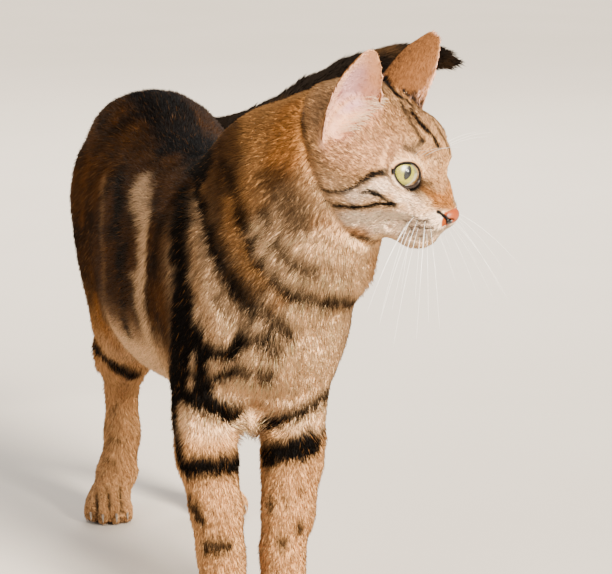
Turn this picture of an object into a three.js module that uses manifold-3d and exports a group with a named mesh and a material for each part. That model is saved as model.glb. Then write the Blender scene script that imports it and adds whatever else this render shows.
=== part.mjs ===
// A standing domestic cat with a marbled tabby coat, as a still life-size model.
// Millimetres, +Z up, nose toward -Y. The cat's left side is +X.
// The body is one smooth field built from named ellipsoids, round limbs and a trunk
// profile. Each part of it is meshed, then parted from its neighbour by a thin cut.
import * as THREE from 'three';
import Module from 'manifold-3d';

const wasm = await Module();
wasm.setup();
const { Manifold, Mesh: SolidMesh } = wasm;

// ---------------------------------------------------------------- driving sizes
const GAP = 0.3;
const BLEND_BODY = 13;
const BLEND_HEAD = 9;
const HEAD_SCALE = 0.95;
const HEAD_YAW = 47.3;
const HEAD_PITCH = 18.9;
const HEAD_ROLL = 3.2;
const HEAD_AT = [79.3, -182.1, 285.5];
const EYE_RADIUS = 10.6;
const EYE_LOCAL = [17.2, 4.4, -0.2];
const MIDLINE = 4;
const CELL_TRUNK = 20.5;
const CELL_NECK = 17.8;
const CELL_LIMB = 11.4;
const CELL_PAW = 7.8;
const CELL_HEAD = 7.6;
const CELL_TAIL = 10.4;
const CELL_NOSE = 2.1;

// Trunk profile along Y: where it is, its middle in X, top, bottom and half width.
const TRUNK = [
  { y: -128, x: 8, top: 262, bottom: 148, half: 44 },
  { y: -100, x: 7, top: 276, bottom: 130, half: 51 },
  { y: -62, x: 5, top: 282, bottom: 124, half: 56 },
  { y: -15, x: 3, top: 278, bottom: 124, half: 59 },
  { y: 35, x: 2, top: 278, bottom: 122, half: 60 },
  { y: 85, x: 4, top: 284, bottom: 129, half: 58 },
  { y: 128, x: 7, top: 297, bottom: 146, half: 56 },
  { y: 165, x: 7, top: 301, bottom: 172, half: 52 },
  { y: 190, x: 5, top: 293, bottom: 192, half: 41 },
];
const TRUNK_FRONT_CAP = 34;
const TRUNK_REAR_CAP = 36;

// ---------------------------------------------------------------- small helpers
const rad = (deg) => (deg * Math.PI) / 180;
const add = (a, b) => [a[0] + b[0], a[1] + b[1], a[2] + b[2]];
const sub = (a, b) => [a[0] - b[0], a[1] - b[1], a[2] - b[2]];
const mul = (a, k) => [a[0] * k, a[1] * k, a[2] * k];
const dot = (a, b) => a[0] * b[0] + a[1] * b[1] + a[2] * b[2];
const len = (a) => Math.sqrt(dot(a, a));
const unit = (a) => mul(a, 1 / len(a));
const cross = (a, b) => [
  a[1] * b[2] - a[2] * b[1],
  a[2] * b[0] - a[0] * b[2],
  a[0] * b[1] - a[1] * b[0],
];
const lerp = (a, b, t) => add(mul(a, 1 - t), mul(b, t));
const clamp = (v, lo, hi) => Math.min(hi, Math.max(lo, v));
const mix = (a, b, t) => a + (b - a) * t;

// Smooth union of two distances, with a blend of width k.
const blend = (a, b, k) => {
  const h = Math.max(k - Math.abs(a - b), 0) / k;
  return Math.min(a, b) - h * h * k * 0.25;
};
const blendAll = (fields, k) => (p) => {
  let d = fields[0](p);
  for (let i = 1; i < fields.length; i += 1) d = blend(d, fields[i](p), k);
  return d;
};

// Ellipsoid with half axes r, turned by a rotation about X, then about Z.
const ellipsoid = (c, r, turnX = 0, turnZ = 0) => {
  const cx = Math.cos(rad(turnX));
  const sx = Math.sin(rad(turnX));
  const cz = Math.cos(rad(turnZ));
  const sz = Math.sin(rad(turnZ));
  return (p) => {
    const q = sub(p, c);
    const x1 = q[0] * cz + q[1] * sz;
    const y1 = -q[0] * sz + q[1] * cz;
    const y2 = y1 * cx + q[2] * sx;
    const z2 = -y1 * sx + q[2] * cx;
    const a = [x1 / r[0], y2 / r[1], z2 / r[2]];
    const b = [a[0] / r[0], a[1] / r[1], a[2] / r[2]];
    const k0 = len(a);
    const k1 = len(b);
    return k1 < 1e-9 ? -Math.min(...r) : (k0 * (k0 - 1)) / k1;
  };
};

// Round limb from a (radius ra) to b (radius rb).
const limb = (a, ra, b, rb) => {
  const ab = sub(b, a);
  const l2 = dot(ab, ab);
  return (p) => {
    const t = clamp(dot(sub(p, a), ab) / l2, 0, 1);
    return len(sub(p, add(a, mul(ab, t)))) - mix(ra, rb, t);
  };
};

// Limb through several joints, each given as [x, y, z, radius].
const chain = (joints, k) => {
  const pieces = [];
  for (let i = 0; i + 1 < joints.length; i += 1) {
    const a = joints[i];
    const b = joints[i + 1];
    pieces.push(limb(a.slice(0, 3), a[3], b.slice(0, 3), b[3]));
  }
  return blendAll(pieces, k);
};

// Smooth value of one column of the trunk profile at y.
const profile = (y, key) => {
  const n = TRUNK.length;
  if (y <= TRUNK[0].y) return TRUNK[0][key];
  if (y >= TRUNK[n - 1].y) return TRUNK[n - 1][key];
  let i = 0;
  while (TRUNK[i + 1].y < y) i += 1;
  const p0 = TRUNK[Math.max(i - 1, 0)][key];
  const p1 = TRUNK[i][key];
  const p2 = TRUNK[i + 1][key];
  const p3 = TRUNK[Math.min(i + 2, n - 1)][key];
  const t = (y - TRUNK[i].y) / (TRUNK[i + 1].y - TRUNK[i].y);
  const a = -p0 + 3 * p1 - 3 * p2 + p3;
  const b = 2 * p0 - 5 * p1 + 4 * p2 - p3;
  return 0.5 * (a * t * t * t + b * t * t + (p2 - p0) * t) + p1;
};

const trunkField = (p) => {
  const first = TRUNK[0].y;
  const last = TRUNK[TRUNK.length - 1].y;
  const top = profile(p[1], 'top');
  const bottom = profile(p[1], 'bottom');
  const half = profile(p[1], 'half');
  const high = (top - bottom) / 2;
  let over = 0;
  if (p[1] < first) over = (first - p[1]) / TRUNK_FRONT_CAP;
  if (p[1] > last) over = (p[1] - last) / TRUNK_REAR_CAP;
  const a = Math.abs((p[0] - profile(p[1], 'x')) / half);
  const b = Math.abs((p[2] - (top + bottom) / 2) / high);
  const k = 2.25;
  const ring = (a ** k + b ** k + over ** k) ** (1 / k);
  return (ring - 1) * Math.min(half, high) * 0.9;
};

// ---------------------------------------------------------------- head frame
// Local axes of the head: X to the cat's left, Y forward, Z up, origin midway
// between the eyes. They are turned by yaw, pitch and roll into the body frame.
const headAxes = (() => {
  const y = rad(HEAD_YAW);
  const p = rad(HEAD_PITCH);
  const r = rad(HEAD_ROLL);
  const fwd = [Math.sin(y) * Math.cos(p), -Math.cos(y) * Math.cos(p), -Math.sin(p)];
  const flat = [Math.cos(y), Math.sin(y), 0];
  const rise = cross(flat, mul(fwd, 1));
  const up = rise[2] > 0 ? rise : mul(rise, -1);
  const left = add(mul(flat, Math.cos(r)), mul(up, Math.sin(r)));
  const top = add(mul(flat, -Math.sin(r)), mul(up, Math.cos(r)));
  return [left, fwd, top];
})();
const headPoint = (q) => {
  let p = HEAD_AT;
  for (let i = 0; i < 3; i += 1) p = add(p, mul(headAxes[i], q[i] * HEAD_SCALE));
  return p;
};
const headLocal = (p) => {
  const q = sub(p, HEAD_AT);
  return headAxes.map((axis) => dot(q, axis) / HEAD_SCALE);
};
const inHead = (field) => (p) => field(headLocal(p)) * HEAD_SCALE;
const bothSides = (make) => [make(-1), make(1)];

// ---------------------------------------------------------------- head flesh
const headShape = blendAll(
  [
    ellipsoid([0, -31, 6], [33.5, 35, 33]),
    ellipsoid([0, -3, 15], [25, 21.5, 19]),
    limb([0, 4, 8], 14, [0, 27.2, -13], 8.6),
    ...bothSides((s) => ellipsoid([s * 22, -16, -14], [18.5, 25, 21])),
    ...bothSides((s) => ellipsoid([s * 15, 3, 12.5], [12, 11, 8])),
    ...bothSides((s) => ellipsoid([s * 18.5, 9, -14], [12, 12, 10])),
    ...bothSides((s) => ellipsoid([s * 9.2, 25, -22], [10.8, 13.5, 9.5])),
    ...bothSides((s) => limb([s * 17, -18, -31], 12.5, [s * 4, 14, -36.5], 8.5)),
    ellipsoid([0, 20, -36.5], [9.5, 12, 8.5]),
  ],
  BLEND_HEAD,
);
const headField = inHead(headShape);

// ---------------------------------------------------------------- limbs and masses
// Joints of each leg as [x, y, z, radius], worked out for the stance.
const FORE = {
  right: {
    shoulder: [-23, -114, 184, 25],
    joints: [
      [-25.5, -104, 132, 20.5],
      [-24, -112, 104, 19],
      [-20.5, -119, 72, 16.6],
      [-18.5, -123, 48, 15.2],
      [-17.5, -125, 30, 14.6],
      [-18, -131, 14, 13],
    ],
    paw: [-19.6, -138, 0],
    toeOut: -4,
  },
  left: {
    shoulder: [39, -114, 182, 26],
    joints: [
      [32, -104, 124, 21.5],
      [29, -112, 98, 19.6],
      [24.5, -119, 68, 17],
      [20.3, -123, 46, 15],
      [20, -125, 30, 14.3],
      [20.5, -131, 14, 12.8],
    ],
    paw: [21.6, -138, 0],
    toeOut: 4,
  },
};
const HIND = {
  right: {
    joints: [
      [-16, 145, 232, 37],
      [-26, 98, 150, 24],
      [-20.5, 135, 124, 22],
      [-15.5, 160, 105, 15],
      [-11.5, 185, 86, 12.2],
      [-12, 180, 58, 13.6],
      [-18.5, 169, 32, 13.8],
      [-26, 161, 15, 13],
    ],
    hamstring: [
      [-17, 166, 190, 19],
      [-19, 151, 137, 16],
    ],
    paw: [-28.5, 156, 0],
    toeOut: -9,
  },
  left: {
    joints: [
      [24, 145, 232, 37],
      [33, 97, 150, 24],
      [34.5, 133, 124, 22],
      [36.5, 158, 105, 15],
      [38, 182, 86, 12.2],
      [40, 176, 58, 13.6],
      [45, 164, 32, 13.8],
      [49, 155, 15, 13],
    ],
    hamstring: [
      [24, 166, 190, 19],
      [30, 150, 137, 16],
    ],
    paw: [50, 150, 0],
    toeOut: 9,
  },
};

// A paw: a rounded mass with four toes in front, set at the given spot on the floor.
const pawField = (at, turn, width) => {
  const c = Math.cos(rad(turn));
  const s = Math.sin(rad(turn));
  const put = (x, y, z) => [at[0] + x * c + y * s, at[1] + x * s - y * c, z];
  const toes = [-1, 1].flatMap((side) => [
    ellipsoid(put(side * width * 0.135, 13, 8), [width * 0.165, 12, 10.5], 12, turn),
    ellipsoid(put(side * width * 0.36, 7, 7.4), [width * 0.155, 11.5, 9.4], 12, turn),
  ]);
  const palm = ellipsoid(put(0, -3, 11), [width * 0.44, 17, 14], 0, turn);
  return blendAll([palm, ...toes], 3.5);
};

const TAIL = [
  [5, 204, 276, 17],
  [18, 230, 268, 15.2],
  [44, 247, 257, 14.4],
  [78, 247, 255, 14],
  [108, 235, 266, 13.6],
  [136, 223, 285, 13.3],
  [164, 213, 301, 12.9],
  [194, 207, 310.5, 12.2],
  [219, 205, 312.5, 11],
  [237, 205, 309, 8.6],
];
const coreField = blendAll(
  [
    trunkField,
    ellipsoid([10.5, -122.5, 195], [47, 38, 55], 8),
    chain([[5, -84, 234, 49], [22, -121, 268, 48], [45, -148, 288, 45]], 10),
    chain([[14, -119, 208, 45], [34, -139, 236, 41.5], [51, -152, 268, 27]], 10),
    ...[-1, 1].flatMap((s) => [
      ellipsoid([MIDLINE + s * 25, -92, 210], [25, 38, 56], -14),
      ellipsoid([MIDLINE + s * 21, 122, 206], [35, 56, 71], -22),
    ]),
  ],
  BLEND_BODY,
);
const limbFields = [chain(TAIL, 4), headField];
for (const side of ['right', 'left']) {
  const f = FORE[side];
  const h = HIND[side];
  const [elbow] = f.joints;
  const upper = limb(f.shoulder.slice(0, 3), f.shoulder[3], elbow.slice(0, 3), elbow[3]);
  limbFields.push(blendAll([upper, chain(f.joints, 5), pawField(f.paw, f.toeOut, 36)], 6));
  const hind = [chain(h.joints, 6), chain(h.hamstring, 6)];
  limbFields.push(blendAll([blendAll(hind, BLEND_BODY), pawField(h.paw, h.toeOut, 35)], 6));
}
// Each limb blends into the trunk, and no limb blends into another.
const bodyField = (p) => {
  const core = coreField(p);
  let d = core;
  for (const field of limbFields) d = Math.min(d, blend(core, field(p), BLEND_BODY));
  return d;
};

// ---------------------------------------------------------------- meshing
// Dual mesh of the field's zero level inside a box, one vertex per crossed cell,
// each vertex moved onto the level along the field's slope.
const polygonise = (field, lo, hi, cell, level = 0) => {
  const n = [0, 1, 2].map((i) => Math.ceil((hi[i] - lo[i]) / cell) + 1);
  const at = (i, j, k) => [lo[0] + i * cell, lo[1] + j * cell, lo[2] + k * cell];
  const id = (i, j, k) => i + n[0] * (j + n[1] * k);
  const value = new Float64Array(n[0] * n[1] * n[2]);
  for (let k = 0; k < n[2]; k += 1) {
    for (let j = 0; j < n[1]; j += 1) {
      for (let i = 0; i < n[0]; i += 1) {
        const rim = i * j * k === 0 || i === n[0] - 1 || j === n[1] - 1 || k === n[2] - 1;
        const v = field(at(i, j, k)) - level;
        value[id(i, j, k)] = rim ? Math.max(v, 0.01) : v;
      }
    }
  }
  const spots = [];
  const spotOf = new Map();
  const corners = [];
  for (let c = 0; c < 8; c += 1) corners.push([c & 1, (c >> 1) & 1, (c >> 2) & 1]);
  const slope = (p) => {
    const h = 0.4;
    return [0, 1, 2].map((a) => {
      const q = p.slice();
      const r = p.slice();
      q[a] += h;
      r[a] -= h;
      return (field(q) - field(r)) / (2 * h);
    });
  };
  for (let k = 0; k + 1 < n[2]; k += 1) {
    for (let j = 0; j + 1 < n[1]; j += 1) {
      for (let i = 0; i + 1 < n[0]; i += 1) {
        const v = corners.map((c) => value[id(i + c[0], j + c[1], k + c[2])]);
        const inside = v.filter((x) => x < 0).length;
        if (inside === 0 || inside === 8) continue;
        let sum = [0, 0, 0];
        let count = 0;
        for (let a = 0; a < 8; a += 1) {
          for (let axis = 0; axis < 3; axis += 1) {
            const b = a | (1 << axis);
            if (b === a || v[a] < 0 === v[b] < 0) continue;
            const t = v[a] / (v[a] - v[b]);
            const pa = at(i + corners[a][0], j + corners[a][1], k + corners[a][2]);
            const pb = at(i + corners[b][0], j + corners[b][1], k + corners[b][2]);
            sum = add(sum, lerp(pa, pb, t));
            count += 1;
          }
        }
        const mean = mul(sum, 1 / count);
        let p = mean;
        for (let step = 0; step < 3; step += 1) {
          const g = slope(p);
          const g2 = dot(g, g);
          if (g2 < 1e-6) break;
          p = sub(p, mul(g, (field(p) - level) / g2));
        }
        const low = at(i, j, k);
        const room = cell * 0.35;
        p = p.map((x, a) => clamp(x, low[a] - room, low[a] + cell + room));
        spotOf.set(id(i, j, k), spots.length);
        spots.push(p);
      }
    }
  }
  const triangles = [];
  const quad = (a, b, c, d, flip) => {
    const near = len(sub(spots[a], spots[c])) <= len(sub(spots[b], spots[d]));
    const list = near ? [[a, b, c], [a, c, d]] : [[a, b, d], [b, c, d]];
    for (const t of list) triangles.push(flip ? [t[0], t[2], t[1]] : t);
  };
  for (let k = 0; k + 1 < n[2]; k += 1) {
    for (let j = 0; j + 1 < n[1]; j += 1) {
      for (let i = 0; i + 1 < n[0]; i += 1) {
        const here = value[id(i, j, k)] < 0;
        const cellAt = (a, b, c) => spotOf.get(id(i + a, j + b, k + c));
        if (j * k > 0 && here !== value[id(i + 1, j, k)] < 0) {
          quad(cellAt(0, 0, 0), cellAt(0, -1, 0), cellAt(0, -1, -1), cellAt(0, 0, -1), !here);
        }
        if (i * k > 0 && here !== value[id(i, j + 1, k)] < 0) {
          quad(cellAt(0, 0, 0), cellAt(0, 0, -1), cellAt(-1, 0, -1), cellAt(-1, 0, 0), !here);
        }
        if (i * j > 0 && here !== value[id(i, j, k + 1)] < 0) {
          quad(cellAt(0, 0, 0), cellAt(-1, 0, 0), cellAt(-1, -1, 0), cellAt(0, -1, 0), !here);
        }
      }
    }
  }
  return toSolid(spots, triangles);
};

const toSolid = (spots, triangles) => {
  const build = (flip) => {
    const mesh = new SolidMesh({
      numProp: 3,
      vertProperties: Float32Array.from(spots.flat()),
      triVerts: Uint32Array.from(triangles.flatMap((t) => (flip ? [t[0], t[2], t[1]] : t))),
    });
    mesh.merge();
    return new Manifold(mesh);
  };
  const solid = build(false);
  return solid.volume() > 0 ? solid : build(true);
};

// A three.js geometry as a solid.
const fromGeometry = (geometry) => {
  const flat = geometry.index ? geometry : geometry.clone();
  const pos = flat.getAttribute('position');
  const mesh = new SolidMesh({
    numProp: 3,
    vertProperties: Float32Array.from(pos.array),
    triVerts: Uint32Array.from(flat.index ? flat.index.array : [...Array(pos.count).keys()]),
  });
  mesh.merge();
  return new Manifold(mesh);
};
const box = (lo, hi) => {
  const g = new THREE.BoxGeometry(hi[0] - lo[0], hi[1] - lo[1], hi[2] - lo[2]);
  g.translate((lo[0] + hi[0]) / 2, (lo[1] + hi[1]) / 2, (lo[2] + hi[2]) / 2);
  return fromGeometry(g);
};
// Everything on the side of a plane that its normal points to, as a large block.
const beyond = (point, normal, reach = 900) => {
  const g = new THREE.BoxGeometry(reach, reach, reach);
  g.translate(0, 0, reach / 2);
  const turn = new THREE.Quaternion().setFromUnitVectors(
    new THREE.Vector3(0, 0, 1),
    new THREE.Vector3(...unit(normal)),
  );
  g.applyQuaternion(turn);
  g.translate(...point);
  return fromGeometry(g);
};
// The same body with every edge shorter than the limit closed up.
const tidy = (solid, limit = 0.05) => {
  const mesh = solid.getMesh();
  const count = mesh.vertProperties.length / mesh.numProp;
  const spots = [];
  for (let i = 0; i < count; i += 1) {
    spots.push([...mesh.vertProperties.slice(i * mesh.numProp, i * mesh.numProp + 3)]);
  }
  const owner = spots.map((_, i) => i);
  const find = (i) => {
    let r = i;
    while (owner[r] !== r) r = owner[r];
    return r;
  };
  for (let t = 0; t < mesh.triVerts.length; t += 3) {
    for (let e = 0; e < 3; e += 1) {
      const a = find(mesh.triVerts[t + e]);
      const b = find(mesh.triVerts[t + ((e + 1) % 3)]);
      if (a !== b && len(sub(spots[a], spots[b])) < limit) owner[Math.max(a, b)] = Math.min(a, b);
    }
  }
  const triangles = [];
  for (let t = 0; t < mesh.triVerts.length; t += 3) {
    const v = [0, 1, 2].map((e) => find(mesh.triVerts[t + e]));
    if (v[0] !== v[1] && v[1] !== v[2] && v[0] !== v[2]) triangles.push(v);
  }
  return toSolid(spots, triangles);
};
const largest = (solid) => {
  const bits = solid.decompose();
  return bits.reduce((a, b) => (a.volume() >= b.volume() ? a : b));
};
const within = (solid, cuts) => {
  let s = solid;
  for (const cut of cuts) {
    const shifted = add(cut.at, mul(unit(cut.normal), GAP / 2));
    s = s.intersect(beyond(shifted, cut.normal));
  }
  return s;
};

// ---------------------------------------------------------------- ears
// An ear is a cupped leaf. Its opening faces forward and outward, its back bulges.
const EAR = {
  front: { right: [16.5, -18, 41], left: [21.5, -9, 40] },
  rear: { right: [40, -38, 4], left: [36.5, -46, 7] },
  inner: { right: 0.76, left: 1.0 },
  tip: [43.5, -31, 71],
  cup: 23,
  wall: 3.4,
  rim: 1.7,
  rows: 9,
  columns: 8,
};
const earSolid = (s) => {
  const side = s < 0 ? 'right' : 'left';
  const front = [s * EAR.front[side][0], EAR.front[side][1], EAR.front[side][2]];
  const rear = [s * EAR.rear[side][0], EAR.rear[side][1], EAR.rear[side][2]];
  const tip = [s * EAR.tip[0], EAR.tip[1], EAR.tip[2]];
  const foot = lerp(front, rear, 0.5);
  const chord = sub(rear, front);
  const back = mul(unit(cross(chord, sub(tip, foot))), s);
  const spots = [];
  const leaf = (layer) => {
    for (let j = 0; j <= EAR.rows; j += 1) {
      const v = mix(-0.32, 1, j / EAR.rows);
      const t = Math.max(v, 0);
      const outer = 1.18 * (0.1 + 0.9 * (1 - t ** 4.2) ** 0.55);
      const inner = EAR.inner[side] * (0.1 + 0.9 * (1 - t ** 2.4) ** 0.7);
      for (let i = 0; i <= EAR.columns; i += 1) {
        const u = mix(-1, 1, i / EAR.columns);
        const across = add(foot, mul(chord, (u * (u > 0 ? outer : inner)) / 2));
        const rise = mul(sub(tip, foot), v);
        const bow = (1 - Math.abs(u) ** 2.2) * EAR.cup * (1 - t) ** 0.75 * (v < 0 ? 1 + v : 1);
        const thick = layer * (EAR.rim + (EAR.wall - EAR.rim) * (1 - u ** 4) * (1 - t * 0.6));
        const p = add(add(across, rise), mul(back, bow - thick));
        spots.push(headPoint(add(p, mul(back, -2.5 * t * t))));
      }
    }
  };
  leaf(0);
  leaf(1);
  const per = EAR.columns + 1;
  const half = per * (EAR.rows + 1);
  const tris = [];
  const quad = (a, b, c, d) => tris.push([a, b, c], [a, c, d]);
  for (let j = 0; j < EAR.rows; j += 1) {
    for (let i = 0; i < EAR.columns; i += 1) {
      const a = j * per + i;
      quad(a, a + 1, a + per + 1, a + per);
      quad(half + a, half + a + per, half + a + per + 1, half + a + 1);
    }
    const l = j * per;
    const r = l + EAR.columns;
    quad(l, l + per, half + l + per, half + l);
    quad(r, half + r, half + r + per, r + per);
  }
  for (let i = 0; i < EAR.columns; i += 1) {
    const top = EAR.rows * per + i;
    quad(i, half + i, half + i + 1, i + 1);
    quad(top, top + 1, half + top + 1, half + top);
  }
  return toSolid(spots, tris);
};

// ---------------------------------------------------------------- eyes and nose
const eyeAt = (s) => headPoint([s * EYE_LOCAL[0], EYE_LOCAL[1], EYE_LOCAL[2]]);
const eyeSolid = (s, radius) => {
  const g = new THREE.SphereGeometry(radius, 14, 9);
  g.translate(...eyeAt(s));
  return fromGeometry(g);
};
const noseField = inHead(
  blendAll(
    [
      ellipsoid([0, 36.2, -17.8], [6.4, 4.6, 4.2], -18),
      limb([0, 36.2, -19.4], 3.6, [0, 34.4, -24.4], 2.4),
    ],
    3,
  ),
);

// ---------------------------------------------------------------- parting
// A region is the part of the body inside a box, trimmed by a few planes.
const meshBox = (lo, hi, cell, level = 0) => {
  const room = cell * 2;
  const low = lo.map((x) => x - room);
  const high = hi.map((x) => x + room);
  return polygonise(bodyField, low, high, cell, level);
};
const region = (lo, hi, cell, cuts = []) => {
  const solid = meshBox(lo, hi, cell);
  const inner = lo.map((x) => x + GAP / 2);
  const outer = hi.map((x) => x - GAP / 2);
  return largest(within(solid.intersect(box(inner, outer)), cuts));
};
const FAR = 400;
const LEG_TOP = 116;
const FORE_MID = 30;
const HOCK_LEVEL = 82;
const HIND_MID = 34;
const THIGH = { inner: 13, front: 56, rear: 187, top: 262 };
const SHOULDER = { inner: 17, front: -175, rear: -52, top: 246 };

const headCut = { at: headPoint([0, -40, -10]), normal: add(mul(headAxes[1], 0.75), mul(headAxes[2], 0.66)) };
const neckCut = { at: [20, -112, 244], normal: [0.35, -0.62, 0.7] };
const tailCut = { at: [16, 228, 269], normal: [0.62, 0.75, -0.22] };
const tailMid = { at: [92, 241, 260], normal: [0.93, -0.25, 0.25] };
const tailEnd = { at: [164, 213, 301], normal: [0.9, -0.25, 0.4] };
const turned = (cut) => ({ at: cut.at, normal: mul(cut.normal, -1) });

const headLow = [20, -250, 200];
const headHigh = [150, -95, 360];
const headWhole = meshBox(headLow, headHigh, CELL_HEAD);
const headGrown = meshBox(headLow, headHigh, CELL_HEAD, GAP * 1.8);
const noseBox = { lo: headPoint([0, 34, -19]).map((x) => x - 14), hi: headPoint([0, 34, -19]).map((x) => x + 14) };
const nose = polygonise(noseField, noseBox.lo, noseBox.hi, CELL_NOSE);
const noseGrown = polygonise(noseField, noseBox.lo, noseBox.hi, CELL_NOSE, GAP * 2.4);

const solids = {};
const put = (name, solid, look) => {
  solids[name] = { solid: tidy(solid), look };
};

let head = within(headWhole, [headCut]);
for (const [side, s] of [['right', -1], ['left', 1]]) {
  put(`eye_${side}`, eyeSolid(s, EYE_RADIUS), 'eye');
  head = head.subtract(eyeSolid(s, EYE_RADIUS + GAP));
  const ear = within(earSolid(s), [headCut]).subtract(headGrown);
  put(`ear_${side}`, largest(ear), 'coat');
}
head = head.subtract(noseGrown);
put('head', largest(head), 'coat');
put('nose', nose, 'leather');

put('neck', region([-80, -200, 190], [110, -20, 345], CELL_NECK, [neckCut, turned(headCut)]), 'coat');

const tailLow = [4, 188, 232];
const tailHigh = [270, 270, 345];
put('tail_root', region(tailLow, tailHigh, CELL_TAIL, [tailCut, turned(tailMid)]), 'coat');
put('tail_middle', region(tailLow, tailHigh, CELL_TAIL, [tailMid, turned(tailEnd)]), 'coat');
put('tail_tip', region(tailLow, tailHigh, CELL_TAIL, [tailEnd]), 'coat');

const legSides = [
  { side: 'right', lo: -110, hi: (inner) => MIDLINE - inner },
  { side: 'left', lo: (inner) => MIDLINE + inner, hi: 120 },
];
const span = (leg, inner) => {
  const lo = typeof leg.lo === 'number' ? leg.lo : leg.lo(inner);
  const hi = typeof leg.hi === 'number' ? leg.hi : leg.hi(inner);
  return [lo, hi];
};
const trunkCuts = [];
for (const leg of legSides) {
  const [s0, s1] = span(leg, SHOULDER.inner);
  const [t0, t1] = span(leg, THIGH.inner);
  const [m0, m1] = span(leg, 0);
  const shoulder = { lo: [s0, SHOULDER.front, LEG_TOP], hi: [s1, SHOULDER.rear, SHOULDER.top] };
  const thigh = { lo: [t0, THIGH.front, LEG_TOP], hi: [t1, THIGH.rear, THIGH.top] };
  trunkCuts.push(shoulder, thigh);
  put(`shoulder_${leg.side}`, region(shoulder.lo, shoulder.hi, CELL_TRUNK, [turned(neckCut)]), 'coat');
  put(`thigh_${leg.side}`, region(thigh.lo, thigh.hi, CELL_NECK), 'coat');
  put(`foreleg_${leg.side}`, region([m0, -FAR, FORE_MID], [m1, -20, LEG_TOP], CELL_LIMB), 'coat');
  put(`shank_${leg.side}`, region([m0, 20, HOCK_LEVEL], [m1, FAR / 2, LEG_TOP], CELL_LIMB), 'coat');
  put(`hock_${leg.side}`, region([m0, 20, HIND_MID], [m1, FAR / 2, HOCK_LEVEL], CELL_LIMB), 'coat');
  put(`forefoot_${leg.side}`, region([m0, -200, -GAP / 2], [m1, -60, FORE_MID], CELL_PAW), 'coat');
  put(`hindfoot_${leg.side}`, region([m0, 60, -GAP / 2], [m1, 220, HIND_MID], CELL_PAW), 'coat');
}

let trunk = region([-110, -200, LEG_TOP], [120, 260, 330], CELL_TRUNK, [turned(neckCut)]);
const tailRoom = box(
  tailLow.map((x) => x - GAP / 2),
  tailHigh.map((x) => x + GAP / 2),
);
const tailStart = sub(tailCut.at, mul(unit(tailCut.normal), GAP / 2));
trunk = trunk.subtract(beyond(tailStart, tailCut.normal).intersect(tailRoom));
for (const cut of trunkCuts) {
  const g = GAP;
  trunk = trunk.subtract(
    box(
      cut.lo.map((x) => x - g / 2),
      cut.hi.map((x) => x + g / 2),
    ),
  );
}
put('trunk', largest(trunk), 'coat');

// ---------------------------------------------------------------- group
const LOOKS = {
  coat: { color: 0x9a7350, roughness: 0.85, metalness: 0 },
  eye: { color: 0xa9b04a, roughness: 0.08, metalness: 0 },
  leather: { color: 0xb5684c, roughness: 0.5, metalness: 0 },
};
const group = new THREE.Group();
group.name = 'cat';
for (const [name, part] of Object.entries(solids)) {
  const mesh = part.solid.getMesh();
  const geometry = new THREE.BufferGeometry();
  const count = mesh.vertProperties.length / mesh.numProp;
  const flat = new Float32Array(count * 3);
  for (let i = 0; i < count; i += 1) {
    for (let a = 0; a < 3; a += 1) flat[i * 3 + a] = mesh.vertProperties[i * mesh.numProp + a];
  }
  geometry.setAttribute('position', new THREE.BufferAttribute(flat, 3));
  geometry.setIndex(new THREE.BufferAttribute(mesh.triVerts, 1));
  const look = new THREE.MeshStandardMaterial(LOOKS[part.look]);
  const piece = new THREE.Mesh(geometry, look);
  piece.name = name;
  group.add(piece);
}

const room = new THREE.Box3().setFromObject(group);
group.position.set(-(room.min.x + room.max.x) / 2, -(room.min.y + room.max.y) / 2, -room.min.z);
group.updateMatrixWorld(true);

export default group;
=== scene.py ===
import math

import bmesh
import bpy
import numpy as np
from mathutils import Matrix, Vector, noise
from mathutils.bvhtree import BVHTree
from mathutils.kdtree import KDTree


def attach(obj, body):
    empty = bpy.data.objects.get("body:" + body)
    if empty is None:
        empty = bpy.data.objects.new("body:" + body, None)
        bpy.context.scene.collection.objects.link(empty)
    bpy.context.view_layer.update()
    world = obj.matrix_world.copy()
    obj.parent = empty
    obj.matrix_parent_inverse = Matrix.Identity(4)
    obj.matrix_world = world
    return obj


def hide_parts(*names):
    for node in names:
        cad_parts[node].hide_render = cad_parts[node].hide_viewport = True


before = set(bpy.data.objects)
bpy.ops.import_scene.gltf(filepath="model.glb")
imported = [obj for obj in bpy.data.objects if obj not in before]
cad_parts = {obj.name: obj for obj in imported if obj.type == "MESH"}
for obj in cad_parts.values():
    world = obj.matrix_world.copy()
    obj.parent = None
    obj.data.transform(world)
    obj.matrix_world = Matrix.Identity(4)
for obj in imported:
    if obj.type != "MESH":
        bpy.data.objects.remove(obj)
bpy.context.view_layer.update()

# ---------------------------------------------------------------- room, camera and lamps
# A plain pale floor under soft studio light: a broad soft sun from the front
# right, a weak lamp from the left and a high one behind, as from a window.
MM = 0.001
PICTURE = (612, 574)
FOCUS = 2890.0
SENSOR = 36.0
FLOOR_SIZE = 30
MIDDLE = (-0.05, -0.05, 0.2)
SUN_RUN = (-0.24, 0.85, -0.46)


def added(name, data):
    item = bpy.data.objects.new(name, data)
    bpy.context.scene.collection.objects.link(item)
    return item


def aimed(run):
    return Vector(run).to_track_quat("-Z", "Y").to_euler()


camera_data = bpy.data.cameras.new("view")
camera_data.sensor_width = SENSOR
camera_data.lens = FOCUS * SENSOR / PICTURE[0]
camera_data.clip_end = 60
camera = added("view", camera_data)
camera.location = (-0.529266, -1.787268, 0.496)
camera.rotation_euler = (math.radians(80.37), 0, math.radians(-16))
bpy.context.scene.camera = camera
EYE_POINT = camera.location.copy()
CAMERA_TURN = camera.rotation_euler.to_matrix()


def sight(x, y):
    """Direction from the camera through a point of its picture."""
    ray = Vector((x - PICTURE[0] / 2, PICTURE[1] / 2 - y, -FOCUS))
    return (CAMERA_TURN @ ray).normalized()


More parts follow.
